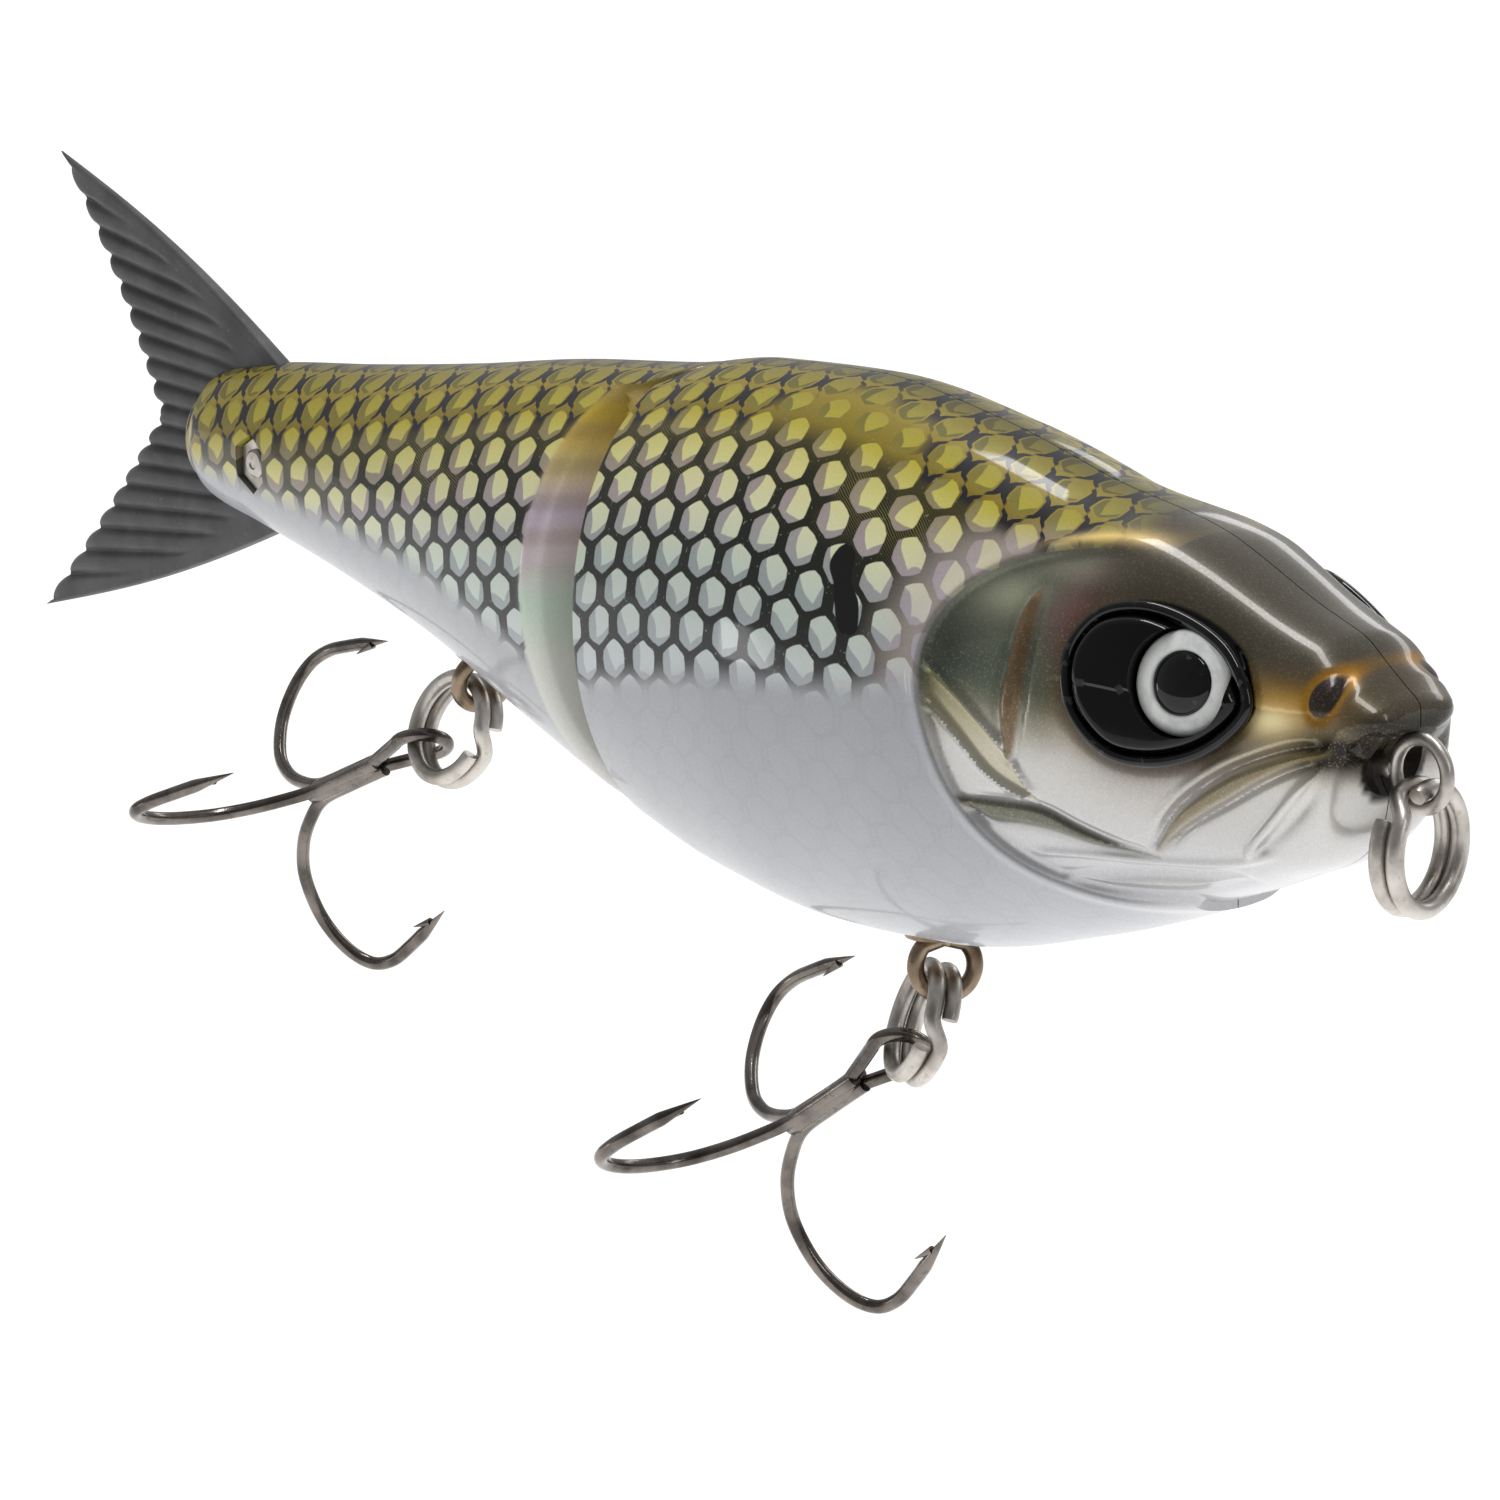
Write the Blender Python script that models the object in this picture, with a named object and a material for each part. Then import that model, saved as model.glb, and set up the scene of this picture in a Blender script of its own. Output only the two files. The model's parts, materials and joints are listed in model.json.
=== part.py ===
"""Two-piece hard glide swimbait with a soft tail.

Two hollow moulded bodies, each split along its centre plane, turn about a vertical
hinge pin.  A line tie with a split ring sits in the mouth, and two swivel hangers
carry split rings and treble hooks.  A rubber tail fin is clamped in the rear body.

Units are metres.  +X points to the head and +Z up; the fish's right flank faces -Y.
The origin is the centre of the line tie's loop.
"""
from math import acos, cos, hypot, pi, radians, sin, sqrt, tan

import bmesh
import bpy
from mathutils import Matrix, Vector

MM = 0.001

# ---- driving dimensions ------------------------------------------------------------
BODY_LENGTH = 154.8 * MM        # nose tip to the end of the hard rear body
BODY_WIDTH = 32.2 * MM          # widest section, flank to flank
BODY_HEIGHT = 45.0 * MM         # tallest section, back to belly
TIE_SETBACK = 1.5 * MM          # line tie's centre behind the nose tip
TIE_DROP = 4.6 * MM             # and below it
HINGE_BACK = 86.0 * MM          # hinge axis behind the nose tip
KNUCKLE_RADIUS = 5.0 * MM       # round nose of the rear body about the hinge axis
HINGE_SWING = 25.0              # degrees to each side
HINGE_CLEARANCE = 0.6 * MM
WALL = 1.8 * MM
SEAM_GAP = 0.1 * MM
FIT_GAP = 0.3 * MM

TIE_LOOP_RADIUS = 2.6 * MM      # wire centre line
TIE_WIRE = 1.1 * MM
TIE_REACH = 14.0 * MM           # loop's centre to the end of its anchor
TIE_SHANK_RADIUS = 0.85 * MM
ANCHOR_RADIUS = 2.0 * MM
ANCHOR_THICKNESS = 1.0 * MM
RING_DIAMETER = 10.5 * MM       # outside of each split ring
RING_WIRE = 1.4 * MM
RING_TURN_GAP = 0.06 * MM
RING_SLACK = 0.1 * MM           # between a split ring and the loop that it hangs in
SWIVEL_WIRE = 1.4 * MM
SWIVEL_SLACK = 0.32 * MM        # between a swivel's loop and a ring across it
FLANGE_DIAMETER = 6.4 * MM
FLANGE_THICKNESS = 0.6 * MM
BARREL_RADIUS = 2.5 * MM
BARREL_DEPTH = 7.0 * MM
BORE_FLARE = 0.95 * MM
STEM_RADIUS = 0.9 * MM
HEAD_RADIUS = 1.6 * MM
HEAD_TOP = 5.2 * MM
HEAD_THICKNESS = 1.2 * MM
HOOK_WIRE = 1.2 * MM
HOOK_EYE_SLACK = 0.27 * MM      # between a hook's eye and a ring across it
HOOK_SPREAD = 14.65 * MM        # hook points from the shank's axis
HOOK_REACH = 22.2 * MM          # eye's centre to the lowest point of the bends
EYE_RADIUS = 4.0 * MM
EYE_SOCKET_DEPTH = 1.6 * MM
EYE_DISC_THICKNESS = 0.6 * MM
EYE_DOME = 2.6 * MM
PIN_DIAMETER = 1.6 * MM
HINGE_EYE_RADIUS = 1.95 * MM
HINGE_EYE_WIRE = 1.6 * MM
HINGE_EYE_REACH = 13.0 * MM
TAIL_SCREW_DIAMETER = 1.8 * MM
TAIL_SCREW_HEAD_RADIUS = 1.7 * MM
TAIL_SCREW_HEAD = 1.1 * MM
TAIL_SCREW_LIFT = 0.3 * MM      # above the nose tip's height
TAIL_NUT_ACROSS = 4.2 * MM      # across the flats
TAIL_NUT_THICKNESS = 1.4 * MM
TAIL_LENGTH = 27.6 * MM         # behind the hard body
TAIL_SPAN = 44.0 * MM
TAIL_THICKNESS = 2.6 * MM

# ---- body outline ------------------------------------------------------------------
# Distance behind the nose tip, half width, top and bottom above the nose tip.  The
# first number is a share of BODY_LENGTH, the second of BODY_WIDTH and the last two of
# BODY_HEIGHT.
BODY_STATIONS = (
    (0.0000, 0.000, -0.010, -0.030),
    (0.0097, 0.124, 0.022, -0.045),
    (0.0245, 0.180, 0.043, -0.085),
    (0.0330, 0.208, 0.052, -0.232),
    (0.0775, 0.286, 0.110, -0.322),
    (0.1421, 0.366, 0.202, -0.422),
    (0.2196, 0.441, 0.280, -0.515),
    (0.3101, 0.494, 0.353, -0.591),
    (0.3973, 0.500, 0.391, -0.607),
    (0.4845, 0.466, 0.380, -0.573),
    (0.5433, 0.429, 0.348, -0.522),
    (0.6460, 0.370, 0.311, -0.404),
    (0.7429, 0.298, 0.262, -0.289),
    (0.8398, 0.230, 0.220, -0.207),
    (0.9302, 0.175, 0.186, -0.145),
    (0.9780, 0.135, 0.150, -0.115),
    (1.0000, 0.080, 0.060, -0.060),
)

NOSE = Vector((TIE_SETBACK, 0, TIE_DROP))
HINGE_X = NOSE.x - HINGE_BACK
RIM_X = HINGE_X + 1.9 * MM      # flat rear rim of the front body
CORNER_X = HINGE_X - 4.9 * MM   # flank corner of the rear body
TAIL_END_X = NOSE.x - BODY_LENGTH

BELLY_HANGER_BACK = 0.345 * BODY_LENGTH
REAR_HANGER_BACK = 0.730 * BODY_LENGTH
EYE_BACK = 0.108 * BODY_LENGTH
EYE_LIFT = 0.9 * MM
EYE_YAW = 18.0
EYE_PITCH = 12.0
HINGE_EYE_HEIGHTS = {"hinge_eye_upper": 11.0 * MM, "hinge_eye_lower": -14.0 * MM}
TAIL_SCREW_BACK = 0.904 * BODY_LENGTH
FIN_ROOT_X = NOSE.x - TAIL_SCREW_BACK + 3.2 * MM

# How each hanger hangs: eye plane, ring lean in the eye, ring swing, the hook's place
# on the ring, hook swing, and the turn of the points about the shank, in degrees.
BELLY_POSE = (152.4, -21.5, 17.9, 27.7, -15.0, 3.2)
REAR_POSE = (171.5, -20.7, 4.0, 38.5, -1.2, 15.4)
TIE_RING_YAW = 12.0

# The coil's two turns lie side by side, so a loop across them is sized from both.
RING_MEAN = (RING_DIAMETER - RING_WIRE) / 2
RING_LANE = (RING_WIRE + RING_TURN_GAP) / 2
SWIVEL_LOOP_RADIUS = RING_LANE + RING_WIRE / 2 + SWIVEL_WIRE / 2 + SWIVEL_SLACK
SWIVEL_LOOP_DROP = SWIVEL_LOOP_RADIUS
HOOK_EYE_RADIUS = RING_LANE + RING_WIRE / 2 + HOOK_WIRE / 2 + HOOK_EYE_SLACK


def coil_offset(loop_radius, wire):
    """How far the coil's centre hangs below the centre of the loop that holds it."""
    reach = loop_radius - wire / 2 - RING_WIRE / 2 - RING_SLACK
    return sqrt(max(0.0, reach**2 - RING_LANE**2))


TIE_RING_OFFSET = coil_offset(TIE_LOOP_RADIUS, TIE_WIRE)
RING_LIFT = SWIVEL_LOOP_RADIUS - coil_offset(SWIVEL_LOOP_RADIUS, SWIVEL_WIRE)


# ---- small geometry helpers --------------------------------------------------------
def slope(before, here, after):
    """Slope at a knot that keeps the curve from overshooting it."""
    left = (here[1] - before[1]) / (here[0] - before[0])
    right = (after[1] - here[1]) / (after[0] - here[0])
    if left * right <= 0:
        return 0.0
    return 2 * left * right / (left + right)


def smooth(knots, x):
    """Monotone cubic through (x, value) knots."""
    last = len(knots) - 1
    i = max(0, min(last - 1, sum(1 for k in knots[1:-1] if k[0] <= x)))
    a, b = knots[i], knots[i + 1]
    straight = (b[1] - a[1]) / (b[0] - a[0])
    start = slope(knots[i - 1], a, b) if i > 0 else straight
    end = slope(a, b, knots[i + 2]) if i + 2 <= last else straight
    width = b[0] - a[0]
    t = (x - a[0]) / width
    value = (2 * t**3 - 3 * t**2 + 1) * a[1] + (t**3 - 2 * t**2 + t) * width * start
    return value + (3 * t**2 - 2 * t**3) * b[1] + (t**3 - t**2) * width * end


def section(back):
    """Half width, top and bottom of the body at a distance behind the nose tip."""
    u = sqrt(max(0.0, min(1.0, back / BODY_LENGTH)))
    scales = (BODY_WIDTH, BODY_HEIGHT, BODY_HEIGHT)
    return [scales[k] * smooth([(sqrt(row[0]), row[k + 1]) for row in BODY_STATIONS], u)
            for k in range(3)]


def belly_point(back):
    """Point on the belly line and the outward normal there."""
    step = 1.0 * MM
    bottom = section(back)[2]
    rise = (section(back + step)[2] - section(back - step)[2]) / (2 * step)
    return Vector((NOSE.x - back, 0, NOSE.z + bottom)), Vector((-rise, 0, -1)).normalized()


def frame(origin, z_axis, x_hint):
    """Matrix with its Z along z_axis and its X near x_hint."""
    z = z_axis.normalized()
    x = (x_hint - x_hint.dot(z) * z).normalized()
    matrix = Matrix((x, z.cross(x), z)).transposed().to_4x4()
    matrix.translation = origin
    return matrix


def mesh_object(name, bm):
    bmesh.ops.recalc_face_normals(bm, faces=bm.faces)
    if bm.calc_volume(signed=True) < 0:
        bmesh.ops.reverse_faces(bm, faces=bm.faces)
    mesh = bpy.data.meshes.new(name)
    bm.to_mesh(mesh)
    bm.free()
    obj = bpy.data.objects.new(name, mesh)
    bpy.context.scene.collection.objects.link(obj)
    return obj


def bake(obj):
    """Replace an object by its evaluated mesh, without modifiers."""
    graph = bpy.context.evaluated_depsgraph_get()
    mesh = bpy.data.meshes.new_from_object(obj.evaluated_get(graph))
    baked = bpy.data.objects.new(obj.name, mesh)
    baked.matrix_world = obj.matrix_world
    name = obj.name
    bpy.data.objects.remove(obj)
    baked.name = name
    bpy.context.scene.collection.objects.link(baked)
    return baked


def combine(obj, others, operation):
    """Boolean each of the others into the object, one after another."""
    for other in others:
        modifier = obj.modifiers.new("cut", "BOOLEAN")
        modifier.operation = operation
        modifier.solver = "EXACT"
        modifier.object = other
        bpy.context.view_layer.update()
        obj = bake(obj)
        bpy.data.objects.remove(other)
    return obj


def cut(obj, cutters):
    return combine(obj, cutters, "DIFFERENCE")


def join(obj, others):
    return combine(obj, others, "UNION")


def cylinder(name, start, end, radius, sides=16, end_radius=None):
    axis = end - start
    bm = bmesh.new()
    bmesh.ops.create_cone(
        bm, cap_ends=True, segments=sides, radius1=radius,
        radius2=radius if end_radius is None else end_radius, depth=axis.length)
    hint = Vector((1, 0, 0)) if abs(axis.normalized().x) < 0.9 else Vector((0, 1, 0))
    place = frame((start + end) / 2, axis, hint)
    bm.transform(place)
    return mesh_object(name, bm)


def box(name, low, high):
    bm = bmesh.new()
    bmesh.ops.create_cube(bm, size=1)
    size = Vector(high) - Vector(low)
    bm.transform(Matrix.Diagonal((*size, 1)))
    bm.transform(Matrix.Translation((Vector(low) + Vector(high)) / 2))
    return mesh_object(name, bm)


def wire(name, points, radius, closed=False, tip=None, sides=2):
    """Round wire along points; tip gives each point's share of the radius."""
    curve = bpy.data.curves.new(name, "CURVE")
    curve.dimensions = "3D"
    curve.bevel_depth = radius
    curve.bevel_resolution = sides
    curve.use_fill_caps = True
    spline = curve.splines.new("POLY")
    spline.points.add(len(points) - 1)
    for i, point in enumerate(points):
        spline.points[i].co = (*point, 1)
        spline.points[i].radius = tip[i] if tip else 1.0
    spline.use_cyclic_u = closed
    obj = bpy.data.objects.new(name, curve)
    bpy.context.scene.collection.objects.link(obj)
    bpy.context.view_layer.update()
    obj = bake(obj)
    bm = bmesh.new()
    bm.from_mesh(obj.data)
    bmesh.ops.remove_doubles(bm, verts=bm.verts, dist=0.01 * MM)
    bpy.data.objects.remove(obj)
    return mesh_object(name, bm)


def lathe(name, profile, place, sides=16):
    """Turn (radius, height) points about Z; a closed profile makes a ring."""
    bm = bmesh.new()
    rings = []
    for k in range(sides):
        a = 2 * pi * k / sides
        rings.append([bm.verts.new((r * cos(a), r * sin(a), z)) for r, z in profile])
    for k in range(sides):
        here, there = rings[k], rings[(k + 1) % sides]
        for i in range(len(profile)):
            j = (i + 1) % len(profile)
            if profile[i][0] > 0 or profile[j][0] > 0:
                bm.faces.new((here[i], here[j], there[j], there[i]))
    bmesh.ops.remove_doubles(bm, verts=bm.verts, dist=0.001 * MM)
    bm.transform(place)
    return mesh_object(name, bm)


# ---- materials ---------------------------------------------------------------------
MATERIALS = {}


def material(name, colour, roughness, metallic):
    if name not in MATERIALS:
        made = bpy.data.materials.new(name)
        made.use_nodes = True
        shader = made.node_tree.nodes["Principled BSDF"]
        shader.inputs["Base Color"].default_value = (*colour, 1)
        shader.inputs["Roughness"].default_value = roughness
        shader.inputs["Metallic"].default_value = metallic
        MATERIALS[name] = made
    return MATERIALS[name]


def finish(obj, made, origin=None, parent=None):
    """Give the object its material, its origin on its axis, and smooth shading."""
    obj.data.materials.clear()
    obj.data.materials.append(made)
    if origin is not None:
        shift = obj.matrix_world.inverted() @ origin
        obj.data.transform(Matrix.Translation(-shift))
        obj.matrix_world = Matrix.Translation(origin)
    obj.data.shade_smooth()
    obj.data.set_sharp_from_angle(angle=radians(35))
    if parent is not None:
        obj.parent = parent
        obj.matrix_parent_inverse = parent.matrix_world.inverted()
    return obj


def pivot(name, origin, parent=None):
    """Empty on a joint's axis that carries the pieces which turn there."""
    empty = bpy.data.objects.new(name, None)
    empty.empty_display_size = 4 * MM
    empty.location = origin
    bpy.context.scene.collection.objects.link(empty)
    bpy.context.view_layer.update()
    if parent is not None:
        empty.parent = parent
        empty.matrix_parent_inverse = parent.matrix_world.inverted()
        bpy.context.view_layer.update()
    return empty


PAINT = material("painted_shell", (0.42, 0.46, 0.40), 0.25, 0.2)
STAINLESS = material("stainless", (0.62, 0.60, 0.57), 0.32, 1.0)
NICKEL = material("aged_nickel", (0.36, 0.31, 0.26), 0.35, 1.0)
BLACK_NICKEL = material("black_nickel", (0.16, 0.13, 0.125), 0.25, 1.0)
LEAD = material("lead", (0.30, 0.31, 0.33), 0.6, 1.0)
RUBBER = material("soft_rubber", (0.05, 0.05, 0.052), 0.7, 0.0)
IRIS = material("iris", (0.62, 0.62, 0.58), 0.35, 0.3)
CLEAR = material("clear_lens", (0.02, 0.02, 0.025), 0.05, 0.0)


# ---- body shells -------------------------------------------------------------------
def half_tube(name, side, sections):
    """One half of a body from (x, half width, top, bottom) sections, flat at the seam."""
    steps = 12
    seam = SEAM_GAP / 2
    bm = bmesh.new()
    rings = []
    for x, width, top, bottom in sections:
        middle = (top + bottom) / 2
        height = (top - bottom) / 2
        ring = []
        for k in range(steps + 1):
            a = -pi / 2 + pi * k / steps
            y = side * max(seam, seam + (width - seam) * cos(a))
            ring.append(bm.verts.new((x, y, middle + height * sin(a))))
        rings.append(ring)
    for here, there in zip(rings, rings[1:]):
        for k in range(steps):
            bm.faces.new((here[k], here[k + 1], there[k + 1], there[k]))
        bm.faces.new((here[steps], here[0], there[0], there[steps]))
    for ring in (rings[0], rings[-1]):
        bm.faces.new(ring)
    return mesh_object(name, bm)


def outer_sections(first, last, count):
    """Sections of the outside, closer together towards the nose."""
    rows = []
    for k in range(count + 1):
        back = (sqrt(first) + (sqrt(last) - sqrt(first)) * k / count) ** 2
        width, top, bottom = section(back)
        rows.append((NOSE.x - back, width, NOSE.z + top, NOSE.z + bottom))
    return rows


def cavity_sections(first, last, floor, count=6):
    """Air space inside: a wall thick at the side and back, its floor raised."""
    rows = []
    for k in range(count + 1):
        back = first + (last - first) * k / count
        width, top, bottom = section(back)
        rows.append((NOSE.x - back, width - WALL, NOSE.z + top - WALL,
                     NOSE.z + bottom + floor))
    return rows


def knuckle_prism(name):
    """Plan outline of the rear body: round nose on the hinge axis, then the bevels."""
    reach = 60 * MM
    lean = tan(radians(HINGE_SWING))
    corner_y = section(NOSE.x - CORNER_X)[0]
    offset = (CORNER_X - HINGE_X) + corner_y * lean
    foot = cos(radians(HINGE_SWING)) * offset
    turn = acos(foot / KNUCKLE_RADIUS) + radians(HINGE_SWING)
    steps = 12
    outline = [Vector((KNUCKLE_RADIUS * cos(a), KNUCKLE_RADIUS * sin(a), 0))
               for a in (turn * (2 * k / steps - 1) for k in range(steps + 1))]
    outline.append(Vector((offset - reach * lean, reach, 0)))
    outline.append(Vector((-3 * reach, reach, 0)))
    outline.append(Vector((-3 * reach, -reach, 0)))
    outline.append(Vector((offset - reach * lean, -reach, 0)))
    bm = bmesh.new()
    face = bm.faces.new([bm.verts.new((HINGE_X + p.x, p.y, -reach)) for p in outline])
    grown = bmesh.ops.extrude_face_region(bm, geom=[face])
    bmesh.ops.translate(
        bm, vec=(0, 0, 2 * reach),
        verts=[v for v in grown["geom"] if isinstance(v, bmesh.types.BMVert)])
    return mesh_object(name, bm)


def hanger_pocket(name, place):
    """Stepped bore that seats a swivel barrel, a little larger than the barrel."""
    low = BARREL_DEPTH + FIT_GAP
    profile = ((0, -low), (BARREL_RADIUS + FIT_GAP, -low),
               (BARREL_RADIUS + FIT_GAP, -FLANGE_THICKNESS - FIT_GAP),
               (FLANGE_DIAMETER / 2 + FIT_GAP, -FLANGE_THICKNESS - FIT_GAP),
               (FLANGE_DIAMETER / 2 + FIT_GAP, 3 * MM), (0, 3 * MM))
    return lathe(name, profile, place)


def eye_place(side):
    back = EYE_BACK
    width, top, bottom = section(back)
    middle = (top + bottom) / 2
    height = (top - bottom) / 2
    rise = (EYE_LIFT - middle) / height
    yaw = radians(EYE_YAW)
    pitch = radians(EYE_PITCH)
    normal = Vector((sin(yaw) * cos(pitch), side * cos(yaw) * cos(pitch), sin(pitch)))
    centre = Vector((NOSE.x - back, side * width * sqrt(1 - rise * rise), NOSE.z + EYE_LIFT))
    return frame(centre, normal, Vector((0, 0, 1)))


def hinge_slot(name, height):
    """Room in the rear body's nose for a hinge eye and its swing."""
    half = HINGE_EYE_WIRE / 2 + FIT_GAP
    radius = HINGE_EYE_RADIUS + HINGE_EYE_WIRE / 2 + 2 * FIT_GAP
    z = NOSE.z + height
    round_end = cylinder(name, Vector((HINGE_X, 0, z - half)),
                         Vector((HINGE_X, 0, z + half)), radius, sides=24)
    mouth = box(name + "_mouth", (HINGE_X, -radius, z - half),
                (HINGE_X + KNUCKLE_RADIUS + MM, radius, z + half))
    return join(round_end, [mouth])


def front_shell(side, name):
    first = 0.15 * MM
    last = NOSE.x - RIM_X
    shell = half_tube(name, side, outer_sections(first, last, 22))
    recess = KNUCKLE_RADIUS + HINGE_CLEARANCE
    cutters = [
        half_tube("air", side, [
            (x, w, t, b) for x, w, t, b in cavity_sections(
                21 * MM, HINGE_BACK - recess - 2.2 * MM, 12 * MM)]),
        cylinder("recess", Vector((HINGE_X, 0, -60 * MM)), Vector((HINGE_X, 0, 60 * MM)),
                 recess, sides=36),
        mouth_notch("mouth"),
        hanger_pocket("belly_pocket", BELLY_PLACE),
        ballast_slug("ballast_room", BALLASTS["front_ballast"], FIT_GAP),
        anchor_room("tie_room", Vector((0, 0, 0)), Vector((-TIE_REACH, 0, 0)),
                    TIE_SHANK_RADIUS),
        lathe("eye_socket", ((0, -EYE_SOCKET_DEPTH), (EYE_RADIUS + FIT_GAP, -EYE_SOCKET_DEPTH),
                             (EYE_RADIUS + FIT_GAP, 6 * MM), (0, 6 * MM)),
              eye_place(side), sides=24),
    ]
    for key, height in HINGE_EYE_HEIGHTS.items():
        z = NOSE.z + height
        cutters.append(anchor_room(
            f"room_{key}", Vector((HINGE_X, 0, z)), Vector((HINGE_X + HINGE_EYE_REACH, 0, z)),
            HINGE_EYE_WIRE / 2))
    return finish(cut(shell, cutters), PAINT)


def anchor_room(name, start, end, radius):
    """Bore and disc-shaped recess for a shank with an anchor at its end."""
    along_shank = (end - start).normalized()
    bore = cylinder(name, start, end, radius + FIT_GAP, sides=12)
    disc = cylinder("disc", end - along_shank * (ANCHOR_THICKNESS + FIT_GAP),
                    end + along_shank * FIT_GAP, ANCHOR_RADIUS + FIT_GAP, sides=12)
    return join(bore, [disc])


def mouth_notch(name):
    """Open mouth: an egg-shaped hollow round the line tie."""
    bm = bmesh.new()
    bmesh.ops.create_uvsphere(bm, u_segments=14, v_segments=8, radius=1)
    bm.transform(Matrix.Translation((2.0 * MM, 0, -0.1 * MM))
                 @ Matrix.Diagonal((6.2 * MM, 4.6 * MM, 3.8 * MM, 1)))
    return mesh_object(name, bm)


def rear_shell(side, name):
    first = HINGE_BACK - KNUCKLE_RADIUS - MM
    last = BODY_LENGTH - 0.4 * MM
    shell = half_tube(name, side, rear_sections(first, last, 16))
    shell = combine(shell, [knuckle_prism("knuckle")], "INTERSECT")
    cavity_start = HINGE_BACK + KNUCKLE_RADIUS + 3.5 * MM
    cutters = [
        half_tube("air", side, cavity_sections(
            cavity_start, TAIL_SCREW_BACK - 10 * MM, 8 * MM)),
        hanger_pocket("rear_pocket", REAR_PLACE),
        ballast_slug("ballast_room", BALLASTS["rear_ballast"], FIT_GAP),
        cylinder("pin_room", Vector((HINGE_X, 0, PIN_TOP + FIT_GAP)),
                 Vector((HINGE_X, 0, PIN_BOTTOM - FIT_GAP)),
                 PIN_DIAMETER / 2 + FIT_GAP, sides=12),
        tail_plate("fin_room", FIT_GAP),
        screw_body("screw_room", FIT_GAP),
        nut_body("nut_room", FIT_GAP),
    ]
    cutters += [hinge_slot(f"slot_{key}", height)
                for key, height in HINGE_EYE_HEIGHTS.items()]
    return finish(cut(shell, cutters), PAINT, Vector((HINGE_X, 0, 0)))


def rear_sections(first, last, count):
    rows = []
    for k in range(count + 1):
        t = k / count
        back = first + (last - first) * (1 - (1 - t) ** 1.7)
        width, top, bottom = section(back)
        rows.append((NOSE.x - back, width, NOSE.z + top, NOSE.z + bottom))
    return rows


# ---- hardware inside the bodies ----------------------------------------------------
BALLASTS = {                    # back, height above the belly, radius and length
    "front_ballast": (38.0 * MM, 8.4 * MM, 3.4 * MM, 15.0 * MM),
    "rear_ballast": (98.5 * MM, 5.6 * MM, 2.2 * MM, 9.0 * MM),
}
PIN_TOP = NOSE.z + section(HINGE_BACK)[1] - 1.9 * MM
PIN_BOTTOM = NOSE.z + section(HINGE_BACK)[2] + 4.4 * MM


def hanger_place(back):
    """Frame at the belly line, with Z pointing out of the body."""
    point, outward = belly_point(back)
    return frame(point, outward, Vector((1, 0, 0)))


BELLY_PLACE = hanger_place(BELLY_HANGER_BACK)
REAR_PLACE = hanger_place(REAR_HANGER_BACK)


def swivel_barrel(name, place):
    """Flanged barrel: countersunk bore below, chamber for the swivel's head above."""
    bore = STEM_RADIUS + FIT_GAP
    chamber = HEAD_RADIUS + FIT_GAP
    shelf = HEAD_TOP - HEAD_THICKNESS - FIT_GAP
    roof = HEAD_TOP + FIT_GAP
    profile = ((bore + BORE_FLARE, 0), (FLANGE_DIAMETER / 2, 0),
               (FLANGE_DIAMETER / 2, -FLANGE_THICKNESS),
               (BARREL_RADIUS, -FLANGE_THICKNESS), (BARREL_RADIUS, -BARREL_DEPTH),
               (0, -BARREL_DEPTH), (0, -roof), (chamber, -roof), (chamber, -shelf),
               (bore, -shelf), (bore, -BORE_FLARE))
    return lathe(name, profile, place)


def ballast_slug(name, spec, grow=0.0):
    """Round-ended weight along the keel."""
    back, above, radius, length = spec
    centre = Vector((NOSE.x - back, 0, NOSE.z + section(back)[2] + above))
    half = Vector((length / 2 + grow, 0, 0))
    return cylinder(name, centre - half, centre + half, radius + grow, sides=16)


def anchored_eye(name, centre, loop_radius, wire_radius, across, towards, reach, shank):
    """Wire loop with a shank and an anchor disc; across and towards span its plane."""
    steps = 18
    loop = [centre + loop_radius * (cos(a) * towards + sin(a) * across)
            for a in (2 * pi * k / steps for k in range(steps))]
    obj = wire(name, loop, wire_radius, closed=True)
    end = centre + towards * reach
    stalk = cylinder("stalk", centre + towards * loop_radius, end, shank, sides=12)
    anchor = cylinder("anchor", end - towards * ANCHOR_THICKNESS, end, ANCHOR_RADIUS, sides=12)
    return join(obj, [stalk, anchor])


def line_tie_eye(name):
    return anchored_eye(name, Vector((0, 0, 0)), TIE_LOOP_RADIUS, TIE_WIRE / 2,
                        Vector((0, 0, 1)), Vector((-1, 0, 0)), TIE_REACH, TIE_SHANK_RADIUS)


def hinge_eye(name, height):
    centre = Vector((HINGE_X, 0, NOSE.z + height))
    return anchored_eye(name, centre, HINGE_EYE_RADIUS, HINGE_EYE_WIRE / 2,
                        Vector((0, 1, 0)), Vector((1, 0, 0)), HINGE_EYE_REACH,
                        HINGE_EYE_WIRE / 2)


def screw_body(name, grow=0.0):
    """Machine screw across the tail with a pan head on the left flank."""
    x = NOSE.x - TAIL_SCREW_BACK
    width = section(TAIL_SCREW_BACK)[0]
    z = NOSE.z + TAIL_SCREW_LIFT
    head_at = width - 1.4 * MM
    shaft = cylinder(name, Vector((x, -(width - 0.9 * MM) - grow, z)), Vector((x, head_at, z)),
                     TAIL_SCREW_DIAMETER / 2 + grow, sides=12)
    outside = 4 * MM if grow else TAIL_SCREW_HEAD
    head = cylinder("head", Vector((x, head_at - grow, z)), Vector((x, head_at + outside, z)),
                    TAIL_SCREW_HEAD_RADIUS + grow, sides=16)
    return join(shaft, [head])


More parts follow.
